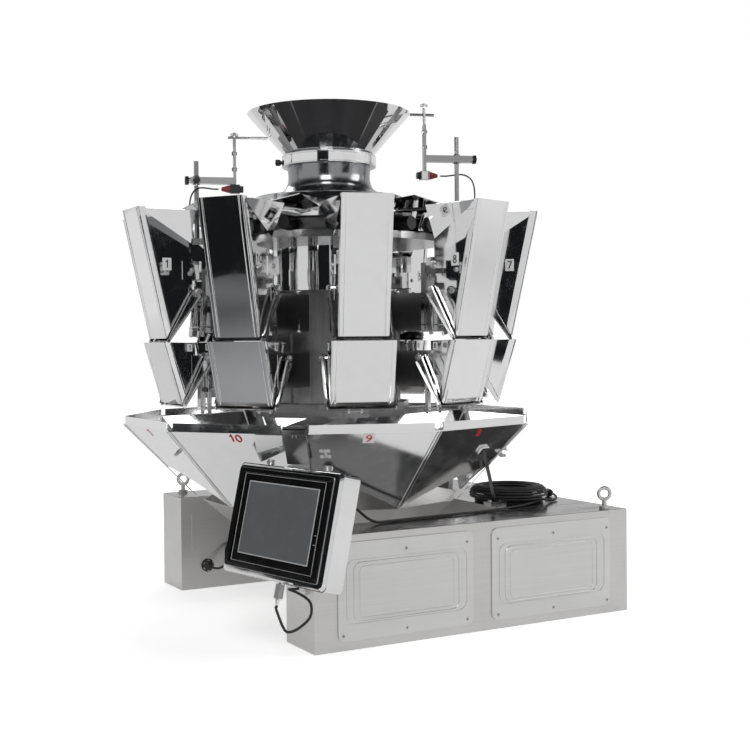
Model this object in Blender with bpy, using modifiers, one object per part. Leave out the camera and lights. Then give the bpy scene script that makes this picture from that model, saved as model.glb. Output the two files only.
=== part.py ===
"""Multihead weigher: ten weighing heads over a ten-sided chute, on a U-shaped base with a display."""

import math

import bmesh
import bpy
from mathutils import Matrix, Vector

# Pattern and shared sheet sizes
heads = 10
clearance = 0.0003
overlap = 0.002
cutter_overrun = 0.02
sheet_wall = 0.002
merge_distance = 0.000001

# Base frame
base_left = -0.2915
base_right = 0.576
bay_half_width = 0.337
base_height = 0.253
base_arm_width = 0.142
base_cross_depth = 0.256
gusset_start = 0.03
gusset_length = 0.095
gusset_top = 0.045
gusset_height = 0.1
gusset_thickness = 0.004
gusset_corner_share = 0.3
gland_radius = 0.013
gland_length = 0.018
gland_nut_radius = 0.016
gland_nut_length = 0.008
rear_gland_inset = 0.075
rear_gland_height = 0.063
front_gland_inset = 0.04
front_gland_height = 0.14

# Eye bolts on the cabinet
eye_inset = 0.05
eye_side_inset = 0.025
eye_ring_radius = 0.0145
eye_ring_thickness = 0.0045
eye_shank_radius = 0.006
eye_shank_length = 0.024
eye_collar_radius = 0.013
eye_collar_height = 0.008
eye_turn = 28

# Cover panels
cover_margin_share = 0.065
cover_length_share = 0.405
cover_gap_share = 0.06
cover_bottom_gap = 0.021
cover_top_gap = 0.016
cover_corner_radius = 0.016
cover_thickness = 0.003
groove_inset = 0.018
groove_rise = 0.036
groove_radius = 0.022
groove_width = 0.003
groove_depth = 0.0012

# Discharge chute
chute_rise = 0.029
chute_depth = 0.191
chute_overhang = 0.008
rim_radius = 0.5285
rim_flange = 0.02
rim_notch_width = 0.011
chute_wall = 0.003
arch_rise = 0.082
arch_width_share = 0.574
arch_power = 1.8
arch_points = 14
funnel_gap = 0.004
funnel_inset = 0.003
funnel_depth = 0.149
funnel_neck_radius = 0.16
outlet_radius = 0.11
outlet_height = 0.04
outlet_length = 0.055

# Machine body
deck_radius = 0.205
deck_thickness = 0.034
deck_sink = 0.005
case_radius = 0.18
case_height = 0.278
rib_depth = 0.004
rib_half_width = 0.006
rib_shares = (-0.5, 0.5)
drum_radius = 0.15
drum_height = 0.125
disc_radius = 0.29
disc_thickness = 0.015
drive_half_width = 0.03
drive_back = 0.065
drive_depth_share = 0.3
upper_drive_rise = 0.178
upper_drive_height = 0.09
lower_drive_rise = 0.043
lower_drive_height = 0.085
riser_thickness = 0.012
hanger_half_width = 0.016
hanger_height = 0.014
vibrator_half_width = 0.02
vibrator_start = 0.2
vibrator_end = 0.27

# Legs, which run down the seams of the chute
leg_angles = (234, 90, 18)
leg_width = 0.05
leg_depth = 0.018
leg_out = 0.0005
leg_knee_inset = 0.059
leg_knee_height = 0.151
leg_foot_inset = 0.077
leg_slot_gap = 0.004
leg_arm_width = 0.034
leg_arm_thickness = 0.022
screen_arm_low = 0.05
screen_arm_high = 0.095
screen_arm_side = 0.0785
screen_arm_half_width = 0.018
screen_arm_reach = 0.047

# Hoppers: places in the head's own radial and upright directions
hopper_inner_radius = 0.4
weigh_gap = 0.037
weigh_height = 0.147
weigh_bottom_depth = 0.034
weigh_lean = 0.0415
weigh_width = 0.144
weigh_side_drop = 0.002
weigh_wall_drop = 0.03
weigh_hinge_back = 0.0325
weigh_hinge_rise = 0.107
feed_gap = 0.009
feed_height = 0.31
feed_bottom_depth = 0.065
feed_lean = 0.066
feed_width = 0.1136
feed_side_drop = 0.08
feed_hinge_back = 0.012
feed_hinge_rise = 0.111
lip_width = 0.018
lip_thickness = 0.001
lip_inset = 0.001
wing_spread = 0.033
wing_drop = 0.007
wing_seat = 0.003
lug_radius = 0.009
lug_thickness = 0.003
bracket_back = 0.024
bracket_wall = 0.003
feed_bracket_rise = 0.14
feed_bracket_height = 0.044
feed_bracket_reach = 0.024
weigh_bracket_rise = 0.082
weigh_bracket_height = 0.028
weigh_bracket_half_width = 0.03

# Gates
gate_clearance = 0.005
gate_thickness = 0.002
gate_edge = 0.004
gate_eye_radius = 0.011
pin_radius = 0.004
pin_gap = 0.0007
pin_end = 0.003

# Feeder pans and dispersion cone
pan_outer_radius = 0.43
pan_inner_radius = 0.17
pan_rise = 0.049
pan_side_height = 0.018
pan_inner_side_height = 0.008
pan_fall = 0.012
pan_floor_share = 0.35
pan_wall = 0.002
cone_radius = 0.182
cone_rise = 0.008
cone_edge = 0.003
cone_height = 0.03
cone_stem_radius = 0.03

# Skirt and infeed funnel
skirt_radius = 0.19
skirt_rise = 0.054
skirt_waist_radius = 0.105
skirt_height = 0.048
throat_length = 0.032
clamp_ring_radius = 0.12
clamp_ring_height = 0.029
skirt_wall = 0.002
skirt_leg_radius = 0.004
skirt_leg_angles = (54, 198, 306)
infeed_bottom_radius = 0.113
infeed_top_radius = 0.209
infeed_height = 0.108
infeed_wall = 0.002

# Sensor supports, one at each side of the infeed funnel
support_angles = {"left": 162, "right": 342}
post_radius = 0.006
post_distance = 0.34
post_foot_half_width = 0.014
post_foot_end = 0.012
post_lengths = {"left": 0.194, "right": 0.27}
arm_rises = {"left": 0.145, "right": 0.212}
arm_ends = {"left": 0.016, "right": 0.04}
arm_half_width = 0.011
arm_height = 0.017
slide_distances = {"left": 0.246, "right": 0.256}
slide_half_width = 0.01
slide_thickness = 0.006
slide_belows = {"left": 0.009, "right": 0.033}
slide_above = 0.088
slot_half_width = 0.003
slot_low = 0.03
slot_high = 0.07
mast_radius = 0.004
mast_lengths = {"left": 0.035, "right": 0.056}
reach_rod_radius = 0.0035
reach_rod_drops = {"left": 0.012, "right": 0.03}
reach_rod_outs = {"left": 0.016, "right": 0.026}
reach_rod_gap = 0.006
knob_radius = 0.009
knob_length = 0.012
sensor_half_size = 0.011
sensor_length = 0.024
sensor_cap_radius = 0.009
sensor_cap_length = 0.009
sensor_cone_length = 0.022
sensor_cone_tip = 0.004

# Display
display_out = 0.079
display_in = 0.0036
display_rise = 0.0378
display_turn = 192.3
display_tilt = 13.3
display_width = 0.359
display_height = 0.2422
display_depth = 0.05
display_corner = 0.012
bezel_slope = 0.006
screen_width = 0.3133
screen_height = 0.2086
screen_offset = (-0.0044, 0.0013)
screen_corner = 0.004
screen_sink = 0.002
screen_thickness = 0.004
plug_side = 0.008
plug_radius = 0.009
plug_length = 0.036
plug_boot_radius = 0.006
plug_boot_length = 0.012

# Free cables
cable_radius = 0.003
cable_points = 44
cable_runs = (0, 0.004, 0.008)
cable_loop = (
    (-0.0855, -0.03, 0.073), (-0.0735, -0.038, 0.068), (-0.0535, -0.045, 0.078), (-0.0365, -0.056, 0.1),
    (-0.0335, -0.049, 0.128), (-0.0465, -0.021, 0.143), (-0.0525, 0.011, 0.146), (-0.0425, 0.033, 0.142),
)
coil_inset = 0.161
coil_side = 0.2
coil_ring_radius = 0.08
coil_thickness = 0.023
cord_pieces = ("cable_coil", "display_cable")

HEAD_STEP = 2 * math.pi / heads
HALF_STEP = HEAD_STEP / 2

# What spans the bay between the arms, and what follows the chute's rim
base_half_width = bay_half_width + base_arm_width
chute_bottom_radius = bay_half_width + chute_overhang
arch_half_width = arch_width_share * chute_bottom_radius
funnel_top_radius = bay_half_width - funnel_inset
leg_top_radius = rim_radius + leg_out
leg_knee_radius = leg_top_radius - leg_knee_inset
leg_foot_radius = leg_top_radius - leg_foot_inset

# What stands before and behind the hoppers' inner walls
feed_bottom_radius = hopper_inner_radius + feed_bottom_depth
weigh_bottom_radius = hopper_inner_radius + weigh_bottom_depth
feed_hinge_radius = hopper_inner_radius - feed_hinge_back
weigh_hinge_radius = hopper_inner_radius - weigh_hinge_back
bracket_radius = hopper_inner_radius - bracket_back
drive_reach = hopper_inner_radius - drive_back

# Heights, from the floor up
chute_bottom = base_height + chute_rise
rim_bottom = chute_bottom + chute_depth
rim_top = rim_bottom + rim_flange
deck_bottom = rim_top - deck_sink
deck_top = deck_bottom + deck_thickness
case_top = deck_top + case_height
drum_top = case_top + drum_height
disc_top = drum_top + disc_thickness
weigh_bottom = rim_top + weigh_gap
weigh_top = weigh_bottom + weigh_height
feed_bottom = weigh_top + feed_gap
feed_top = feed_bottom + feed_height
pan_valley = disc_top + pan_rise
cone_bottom = pan_valley + pan_fall + pan_inner_side_height + cone_rise
skirt_bottom = pan_valley + skirt_rise
skirt_waist = skirt_bottom + skirt_height
throat_top = skirt_waist + throat_length
clamp_top = throat_top + clamp_ring_height
infeed_top = clamp_top + infeed_height

for leftover in list(bpy.data.objects):
    bpy.data.objects.remove(leftover)

parts = bpy.data.collections.new("multihead_weigher")
cutters = bpy.data.collections.new("cutters")
cutters.hide_render = True
for collection in (parts, cutters):
    bpy.context.scene.collection.children.link(collection)


def material(name, color, roughness, metallic):
    made = bpy.data.materials.new(name)
    made.use_nodes = True
    shader = made.node_tree.nodes["Principled BSDF"]
    shader.inputs["Base Color"].default_value = (*color, 1)
    shader.inputs["Roughness"].default_value = roughness
    shader.inputs["Metallic"].default_value = metallic
    return made


steel = material("polished_steel", (0.72, 0.72, 0.73), 0.14, 1)
brushed = material("brushed_steel", (0.6, 0.6, 0.58), 0.4, 1)
dark_steel = material("body_steel", (0.3, 0.3, 0.3), 0.35, 1)
black = material("black_rubber", (0.02, 0.02, 0.02), 0.5, 0)
screen_glass = material("screen", (0.05, 0.06, 0.07), 0.15, 0)


def link(name, data, look):
    made = bpy.data.objects.new(name, data)
    parts.objects.link(made)
    if not data.materials:
        data.materials.append(look)
    return made


def evaluated(obj):
    """The object's mesh with its modifiers applied, its points merged and its normals facing out."""
    bpy.context.view_layer.update()
    graph = bpy.context.evaluated_depsgraph_get()
    mesh = bpy.data.meshes.new_from_object(obj.evaluated_get(graph))
    work = bmesh.new()
    work.from_mesh(mesh)
    work.transform(obj.matrix_world)
    bmesh.ops.remove_doubles(work, verts=work.verts, dist=merge_distance)
    bmesh.ops.recalc_face_normals(work, faces=work.faces)
    work.to_mesh(mesh)
    work.free()
    return mesh


def finished(name, data, prepare=None, matrix=None):
    """Links the data for a moment, lets prepare add modifiers, and gives the evaluated mesh."""
    obj = bpy.data.objects.new(name, data)
    cutters.objects.link(obj)
    if matrix:
        obj.matrix_world = matrix
    if prepare:
        prepare(obj)
    mesh = evaluated(obj)
    bpy.data.objects.remove(obj)
    return mesh


def outline(name, points, depth, matrix=None):
    """A solid from a closed outline, which stands in the XZ plane and is as thick as depth along Y."""
    curve = bpy.data.curves.new(name, "CURVE")
    curve.dimensions = "2D"
    curve.fill_mode = "BOTH"
    curve.extrude = depth / 2
    spline = curve.splines.new("POLY")
    spline.points.add(len(points) - 1)
    for point, (x, y) in zip(spline.points, points):
        point.co = (x, y, 0, 1)
    spline.use_cyclic_u = True
    return finished(name, curve, matrix=(matrix or Matrix()) @ Matrix.Rotation(math.pi / 2, 4, "X"))


def flat(name, points, low, high):
    """A solid from a closed outline in plan, between two heights."""
    lift = Matrix.Translation((0, 0, (low + high) / 2)) @ Matrix.Rotation(-math.pi / 2, 4, "X")
    return outline(name, points, high - low, lift)


def block(name, low, high, matrix=None):
    mesh = bpy.data.meshes.new(name)
    work = bmesh.new()
    bmesh.ops.create_cube(work, size=1)
    size = [b - a for a, b in zip(low, high)]
    centre = [(a + b) / 2 for a, b in zip(low, high)]
    work.transform((matrix or Matrix()) @ Matrix.Translation(centre) @ Matrix.Diagonal((*size, 1)))
    work.to_mesh(mesh)
    work.free()
    return mesh


def rod(name, start, end, radius, sides=12, end_radius=None):
    start, end = Vector(start), Vector(end)
    mesh = bpy.data.meshes.new(name)
    work = bmesh.new()
    turn = (end - start).to_track_quat("Z", "Y").to_matrix().to_4x4()
    bmesh.ops.create_cone(
        work, cap_ends=True, segments=sides, radius1=radius,
        radius2=radius if end_radius is None else end_radius,
        depth=(end - start).length, matrix=Matrix.Translation((start + end) / 2) @ turn,
    )
    work.to_mesh(mesh)
    work.free()
    return mesh


def turned(name, profile, steps, phase=0.0):
    """A closed profile in the XZ plane turned about Z."""
    mesh = bpy.data.meshes.new(name)
    work = bmesh.new()
    points = [work.verts.new((x, 0, z)) for x, z in profile]
    for a, b in zip(points, points[1:] + points[:1]):
        work.edges.new((a, b))
    work.to_mesh(mesh)
    work.free()

    def turn(obj):
        screw = obj.modifiers.new("turn", "SCREW")
        screw.steps = screw.render_steps = steps
        screw.use_merge_vertices = True
        screw.merge_threshold = merge_distance

    return finished(name, mesh, turn, around(phase))


def tube(name, points, radius, resolution=2):
    curve = bpy.data.curves.new(name, "CURVE")
    curve.dimensions = "3D"
    curve.bevel_depth = radius
    curve.bevel_resolution = resolution
    curve.use_fill_caps = True
    spline = curve.splines.new("POLY")
    spline.points.add(len(points) - 1)
    for point, place in zip(spline.points, points):
        point.co = (*place, 1)
    return finished(name, curve)


def sheet(name, points, faces, wall):
    """An open folded surface given a wall's thickness, half to each side."""
    mesh = bpy.data.meshes.new(name)
    mesh.from_pydata(points, [], faces)

    def thicken(obj):
        solidify = obj.modifiers.new("wall", "SOLIDIFY")
        solidify.thickness = wall
        solidify.offset = 0
        solidify.use_even_offset = True

    return finished(name, mesh, thicken)


def combine(name, base, steps):
    """base with each mesh of steps joined to it or cut from it, in order."""
    work = bpy.data.objects.new(name + "_work", base)
    cutters.objects.link(work)
    tools = []
    for index, (operation, mesh) in enumerate(steps):
        tool = bpy.data.objects.new(f"{name}_tool_{index}", mesh)
        cutters.objects.link(tool)
        tools.append(tool)
        boolean = work.modifiers.new(tool.name, "BOOLEAN")
        boolean.operation = operation
        boolean.solver = "EXACT"
        boolean.object = tool
    result = evaluated(work)
    result.name = name
    for obj in [work, *tools]:
        bpy.data.objects.remove(obj)
    return result


def joined(name, meshes):
    return combine(name, meshes[0], [("UNION", mesh) for mesh in meshes[1:]])


def moved(mesh, x, y, z):
    mesh.transform(Matrix.Translation((x, y, z)))
    return mesh


def around(angle):
    return Matrix.Rotation(angle, 4, "Z")


def polar(radius, degrees, height):
    a = math.radians(degrees)
    return (radius * math.cos(a), radius * math.sin(a), height)


def rounded(width, height, radius, segments=4):
    """Points of a rectangle with rounded corners."""
    points = []
    for quarter, (sx, sy) in enumerate(((1, 1), (-1, 1), (-1, -1), (1, -1))):
        for i in range(segments + 1):
            a = math.pi / 2 * (quarter + i / segments)
            points.append((
                sx * (width / 2 - radius) + radius * math.cos(a),
                sy * (height / 2 - radius) + radius * math.sin(a),
            ))
    return points


def circle(radius, sides, centre=(0, 0)):
    """Points of a circle, which run clockwise from its right."""
    turns = [-2 * math.pi * i / sides for i in range(sides)]
    return [(centre[0] + radius * math.cos(a), centre[1] + radius * math.sin(a)) for a in turns]


def gland(start, direction):
    """A cable gland: a nut on the wall and a domed cap, as two rods."""
    start, direction = Vector(start), Vector(direction)
    return [
        rod("nut", start - direction * overlap, start + direction * gland_nut_length, gland_nut_radius, 6),
        rod("cap", start, start + direction * gland_length, gland_radius, 12, cable_radius + sheet_wall),
    ]


def eye_bolt(x, y):
    """Collar, shank and ring, standing on the cabinet."""
    low, collar_top = base_height - overlap, base_height + eye_collar_height
    collar = rod("collar", (x, y, low), (x, y, collar_top), eye_collar_radius)
    shank_top = base_height + eye_shank_length
    shank = rod("shank", (x, y, base_height), (x, y, shank_top), eye_shank_radius, 8)
    ring = turned("eye_ring", circle(eye_ring_thickness, 6, (eye_ring_radius, 0)), 12)
    ring.transform(
        Matrix.Translation((x, y, shank_top + eye_ring_radius)) @ around(math.radians(-eye_turn))
        @ Matrix.Rotation(math.pi / 2, 4, "X")
    )
    return [collar, shank, ring]


def base_frame():
    inner, cross = bay_half_width, base_right - base_cross_depth
    plan = [
        (base_left, -base_half_width), (base_right, -base_half_width), (base_right, base_half_width),
        (base_left, base_half_width), (base_left, inner), (cross, inner), (cross, -inner),
        (base_left, -inner),
    ]
    start, top = base_left + gusset_start, base_height - gusset_top
    corner = gusset_corner_share * gusset_height
    gusset = outline(
        "gusset",
        [(start, top), (start, top - gusset_height), (start + gusset_length, top - corner)],
        gusset_thickness + overlap,
    )
    meshes = [
        flat("base_frame", plan, 0, base_height),
        moved(gusset, 0, inner - (gusset_thickness - overlap) / 2, 0),
        *gland((base_left + rear_gland_inset, inner, rear_gland_height), (0, -1, 0)),
        *gland((base_left, front_gland_inset - base_half_width, front_gland_height), (-1, 0, 0)),
    ]
    for x in (base_left + eye_inset, base_right - eye_inset):
        for side in (-1, 1):
            meshes += eye_bolt(x, side * (base_half_width - eye_side_inset))
    link("base_frame", joined("base_frame", meshes), brushed)


def covers():
    length = base_right - base_left
    width, height = cover_length_share * length, base_height - cover_bottom_gap - cover_top_gap
    groove_long, groove_tall = width - 2 * groove_inset, height - 2 * groove_rise
    plate = outline("cover", rounded(width, height, cover_corner_radius), cover_thickness)
    outer = outline("groove", rounded(groove_long, groove_tall, groove_radius), 2 * groove_depth)
    inner = outline(
        "groove_inner",
        rounded(groove_long - 2 * groove_width, groove_tall - 2 * groove_width, groove_radius - groove_width),
        2 * groove_depth + cutter_overrun,
    )
    ring = moved(combine("groove_ring", outer, [("DIFFERENCE", inner)]), 0, -cover_thickness / 2, 0)
    cover = combine("cover", plate, [("DIFFERENCE", ring)])
    for index in range(2):
        share = cover_margin_share + cover_length_share / 2 + index * (cover_length_share + cover_gap_share)
        for side, turn, y in (("front", 0, -1), ("rear", math.pi, 1)):
            obj = link(f"cover_{side}_{index + 1}", cover, brushed)
            off = base_half_width + clearance + cover_thickness / 2
            obj.location = (base_left + length * share, y * off, cover_bottom_gap + height / 2)
            obj.rotation_euler.z = turn


def arch_outline():
    """The arch between two low corners of the chute, which is flat at its top and steep at its ends."""
    low = chute_bottom - cutter_overrun
    points = [(arch_half_width, low), (-arch_half_width, low)]
    for i in range(arch_points + 1):
        across = 2 * i / arch_points - 1
        points.append((across * arch_half_width, chute_bottom + arch_rise * (1 - abs(across) ** arch_power)))
    return points


def chute():
    radial = Matrix.Rotation(math.pi / 2, 4, "Z")
    profile = [
        (rim_radius, rim_top), (rim_radius, rim_bottom), (chute_bottom_radius, chute_bottom),
        (chute_bottom_radius - chute_wall, chute_bottom), (rim_radius - chute_wall, rim_bottom),
        (rim_radius - chute_wall, rim_top),
    ]
    cuts = [leg_mesh(degrees, leg_slot_gap, leg_width) for degrees in leg_angles]
    for k in range(heads):
        turn = around((k + 1 / 2) * HEAD_STEP)
        if k % 2 == 0:
            place = turn @ Matrix.Translation((rim_radius, 0, 0)) @ radial
            cuts.append(outline("arch", arch_outline(), rim_radius, place))
        has_leg = round(math.degrees((k + 1 / 2) * HEAD_STEP)) in leg_angles
        half = leg_width / 2 + leg_slot_gap + overlap if has_leg else rim_notch_width
        cuts.append(block(
            "rim_notch", (rim_radius - 2 * rim_notch_width, -half, rim_bottom + chute_wall),
            (rim_radius + rim_notch_width, half, rim_top + cutter_overrun), turn,
        ))
    shell = turned("upper_chute", profile, heads, HALF_STEP)
    link("upper_chute", combine("upper_chute", shell, [("DIFFERENCE", cut) for cut in cuts]), steel)
    top = chute_bottom - funnel_gap
    neck, outlet_top = top - funnel_depth, outlet_height + outlet_length
    lower = [
        (funnel_top_radius, top), (funnel_neck_radius, neck), (outlet_radius, outlet_top),
        (outlet_radius, outlet_height), (outlet_radius - chute_wall, outlet_height),
        (outlet_radius - chute_wall, outlet_top), (funnel_neck_radius - chute_wall, neck),
        (funnel_top_radius - chute_wall, top),
    ]
    link("lower_funnel", turned("lower_funnel", lower, heads, HALF_STEP), brushed)


def leg_mesh(degrees, gap, outward=0):
    """A leg with a knee in side view. With a gap it is the slot that the leg passes through."""
    near, far = leg_depth / 2 + gap, leg_depth / 2 + gap + outward
    top, foot = rim_bottom + leg_arm_thickness / 2 + gap, base_height + clearance
    knee = base_height + leg_knee_height
    leg = [
        (leg_top_radius - near, top), (leg_top_radius + far, top),
        (leg_knee_radius + far, knee), (leg_foot_radius + far, foot),
        (leg_foot_radius - near, foot), (leg_knee_radius - near, knee),
    ]
    return outline("leg", leg, leg_width + 2 * gap, around(math.radians(degrees)))


def case():
    """The ten-sided case, with two upright ribs on each face between the heads."""
    apothem, half = case_radius * math.cos(HALF_STEP), case_radius * math.sin(HALF_STEP)
    body = rod("case", (0, 0, deck_top - overlap), (0, 0, case_top), case_radius, heads)
    body.transform(around(HALF_STEP))
    meshes = [body]
    for k in range(heads):
        turn = around((k + 1 / 2) * HEAD_STEP)
        for share in rib_shares:
            low = (apothem - overlap, half * share - rib_half_width, deck_top - overlap / 2)
            high = (apothem + rib_depth, half * share + rib_half_width, case_top - overlap)
            meshes.append(block("rib", low, high, turn))
    return meshes


def head_drives(turn):
    """What carries one head: two drive boxes, its hoppers' riser and hangers, and its pan's vibrator."""
    half, reach = drive_half_width, drive_reach
    root = case_radius * (1 - drive_depth_share)
    upper, lower = deck_top + upper_drive_rise, deck_top + lower_drive_rise
    meshes = []
    for low, height in ((upper, upper_drive_height), (lower, lower_drive_height)):
        meshes.append(block("drive", (root, -half, low), (reach, half, low + height), turn))
    feed_hang = feed_bottom + feed_bracket_rise + feed_bracket_height / 2
    weigh_hang = weigh_bottom + weigh_bracket_rise + weigh_bracket_height / 2
    meshes.append(block(
        "riser", (reach - riser_thickness, -hanger_half_width, upper + overlap),
        (reach + overlap, hanger_half_width, feed_hang + hanger_height), turn,
    ))
    for centre in (feed_hang, weigh_hang):
        meshes.append(block(
            "hanger", (reach - overlap, -hanger_half_width / 2, centre - hanger_height / 2),
            (bracket_radius - clearance, hanger_half_width / 2, centre + hanger_height / 2), turn,
        ))
    meshes.append(block(
        "vibrator", (vibrator_start, -vibrator_half_width, disc_top - overlap),
        (vibrator_end, vibrator_half_width, pan_valley - pan_wall), turn,
    ))
    return meshes


def screen_arm(place):
    """The arm from the back of the display to the leg beside it, in the display's own directions."""
    depth = display_depth + clearance
    low = (-screen_arm_side - screen_arm_half_width, depth, screen_arm_low)
    high = (-screen_arm_side + screen_arm_half_width, depth + screen_arm_reach, screen_arm_high)
    return block("screen_arm", low, high, place)


def machine_body():
    meshes = [
        rod("deck", (0, 0, deck_bottom), (0, 0, deck_top), deck_radius, heads),
        *case(),
        rod("drum", (0, 0, case_top - overlap), (0, 0, drum_top), drum_radius, 4 * heads),
        rod("disc", (0, 0, drum_top - overlap), (0, 0, disc_top), disc_radius, 4 * heads),
        rod("cone_stem", (0, 0, disc_top - overlap), (0, 0, cone_bottom - clearance), cone_stem_radius),
    ]
    for k in range(heads):
        meshes += head_drives(around(k * HEAD_STEP))
    half, thick = leg_arm_width / 2, leg_arm_thickness
    for degrees in leg_angles:
        low = (deck_radius / 2, -half, rim_bottom + overlap)
        high = (leg_top_radius, half, rim_bottom + thick - overlap)
        meshes.append(block("leg_arm", low, high, around(math.radians(degrees))))
        meshes.append(leg_mesh(degrees, 0))
    for degrees in support_angles.values():
        low = (disc_radius - cutter_overrun, -post_foot_half_width, drum_top)
        high = (post_distance + post_foot_end, post_foot_half_width, disc_top - overlap / 2)
        meshes.append(block("post_foot", low, high, around(math.radians(degrees))))
    middle = skirt_radius - skirt_wall / 2
    for degrees in skirt_leg_angles:
        low, high = (polar(middle, degrees, z) for z in (disc_top - overlap, skirt_bottom - clearance))
        meshes.append(rod("skirt_leg", low, high, skirt_leg_radius, 8))
    meshes.append(screen_arm(display_place()))
    link("machine_body", joined("machine_body", meshes), dark_steel)


def on_line(start, end, x):
    """The height at x on the line between two points."""
    return start[1] + (x - start[0]) * (end[1] - start[1]) / (end[0] - start[0])


def side_profile(bottom_radius, lean, bottom, top, side_drop, hinge):
    """A hopper's side wall: outer top, inner top, inner bottom on the gate's line, and outer bottom."""
    tip = (bottom_radius, bottom)
    inner = hopper_inner_radius
    return [(bottom_radius + lean, top), (inner, top - side_drop), (inner, on_line(hinge, tip, inner)), tip]


def inset(profile, wall):
    """The profile's inside: the outer and inner walls move in, and the top and the gate side run past."""
    (ax, az), (bx, bz), (cx, cz), (dx, dz) = profile
    slope = (ax - dx) / (az - dz)
    run = cutter_overrun
    length = math.hypot(dx - cx, dz - cz)
    nx, nz = run * (dz - cz) / length, -run * (dx - cx) / length
    return [
        (ax - wall + slope * run, az + run), (bx + wall, bz + run), (bx + wall, cz),
        (bx + wall + nx, cz + nz), (dx - wall + nx, dz + nz), (dx - wall, dz),
    ]


def lip_band(profile):
    """The folded edge that runs down both sides of the outer panel."""
    (ax, az), (bx, bz), (cx, cz), (dx, dz) = profile
    high, low = ax - lip_width, dx - lip_width
    return [
        (ax + lip_thickness, az - lip_inset), (dx + lip_thickness, dz + lip_inset),
        (low, on_line((cx, cz), (dx, dz), low) + lip_inset),
        (high, on_line((ax, az), (bx, bz), high) - lip_inset),
    ]


def gate_line(hinge, profile):
    """A function for places along and below the line from the hinge to the tip, and the line's length."""
    run, drop = profile[3][0] - hinge[0], profile[3][1] - hinge[1]
    length = math.hypot(run, drop)
    ux, uz = run / length, drop / length

    def at(along, below, start=(0, 0)):
        return (start[0] + ux * along + uz * below, start[1] + uz * along - ux * below)

    return at, length


def lug_outline(hinge, profile):
    """A plate from the side wall to the round end about the hinge pin. All but that end is above the gate."""
    at, _ = gate_line(hinge, profile)
    seat = hopper_inner_radius + lug_radius
    low = on_line(profile[2], profile[3], seat) + overlap
    high = max(low, hinge[1]) + lug_radius
    turns = [math.radians(degrees) for degrees in range(45, 271, 45)]
    arc = [at(lug_radius * math.cos(a), lug_radius * math.sin(a), hinge) for a in turns]
    return [at(lug_radius + overlap, -clearance, hinge), *arc, (seat, high), (seat, low)]


def hinge_parts(hinge, profile, width):
    """Both lugs of a hopper, each with the pin on which its gate turns."""
    meshes = []
    for side in (-1, 1):
        lug = outline("lug", lug_outline(hinge, profile), lug_thickness)
        meshes.append(moved(lug, 0, side * (width - sheet_wall) / 2, 0))
        start = (hinge[0], side * (width / 2 - overlap), hinge[1])
        end = (hinge[0], side * (gate_side(width) + gate_thickness + pin_end), hinge[1])
        meshes.append(rod("pin", start, end, pin_radius, 8))
    return meshes


def bracket(low, high, half, reach):
    """A channel behind the inner wall, open at its top and bottom."""
    wall = bracket_wall
    outer = block("bracket", (bracket_radius, -half, low), (reach, half, high))
    hollow = block(
        "bracket_hollow", (bracket_radius + wall, wall - half, low - cutter_overrun),
        (reach + cutter_overrun, half - wall, high + cutter_overrun),
    )
    return combine("bracket", outer, [("DIFFERENCE", hollow)])


def wing(side):
    """A flap on the sloping top of a side wall, flared so that the pan's stream is caught."""
    half = side * (feed_width - sheet_wall) / 2
    outer = (feed_bottom_radius + feed_lean - wing_seat, half, feed_top - wing_seat)
    inner = (hopper_inner_radius + sheet_wall / 2, half, feed_top - feed_side_drop - wing_seat)
    top = (hopper_inner_radius + sheet_wall / 2, half + side * wing_spread, feed_top - wing_drop)
    return sheet("wing", [outer, inner, top], [(0, 1, 2)], sheet_wall)


def hopper(name, profile, width, hinge, extras, cuts):
    """A sheet hopper, open at its top and at its gate, with folded lips, lugs and its bracket."""
    lips = outline("lips", lip_band(profile), width + 2 * lip_thickness)
    steps = [("UNION", mesh) for mesh in [lips, *hinge_parts(hinge, profile, width), *extras]]
    inside = outline(name + "_inside", inset(profile, sheet_wall), width - 2 * sheet_wall)
    steps += [("DIFFERENCE", mesh) for mesh in [inside, *cuts]]
    return combine(name, outline(name, profile, width), steps)


def gate_side(width):
    """From the middle of the hopper to the inner face of its gate's ear."""
    return width / 2 + lip_thickness + gate_clearance


def gate(name, profile, width, hinge):
    """A sloping plate with an ear at each side that turns on the hopper's pin. The hinge is its origin."""
    at, length = gate_line(hinge, profile)
    near, far = gate_clearance, gate_clearance + gate_thickness
    start = math.hypot(profile[2][0] - hinge[0], profile[2][1] - hinge[1]) - gate_edge
    stop, half = length + gate_clearance, gate_side(width)
    plate = [at(start, near), at(stop, near), at(stop, far), at(start, far)]
    meshes = [outline(name, plate, 2 * half + gate_thickness)]
    turns = [math.radians(degrees) for degrees in range(90, 271, 45)]
    rim = [at(gate_eye_radius * math.cos(a), gate_eye_radius * math.sin(a)) for a in turns]
    end = stop + overlap
    tip = [at(stop - gate_edge, near - gate_edge), at(end, near - overlap), at(end, far + overlap)]
    for side in (-1, 1):
        mesh = outline(name + "_ear", [*rim, *tip], gate_thickness)
        meshes.append(moved(mesh, 0, side * (half + gate_thickness / 2), 0))
    reach = half + gate_thickness + cutter_overrun
    hole = rod("pin_hole", (0, -reach, 0), (0, reach, 0), pin_radius + pin_gap, 8)
    return combine(name, joined(name, meshes), [("DIFFERENCE", hole)])


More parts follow.
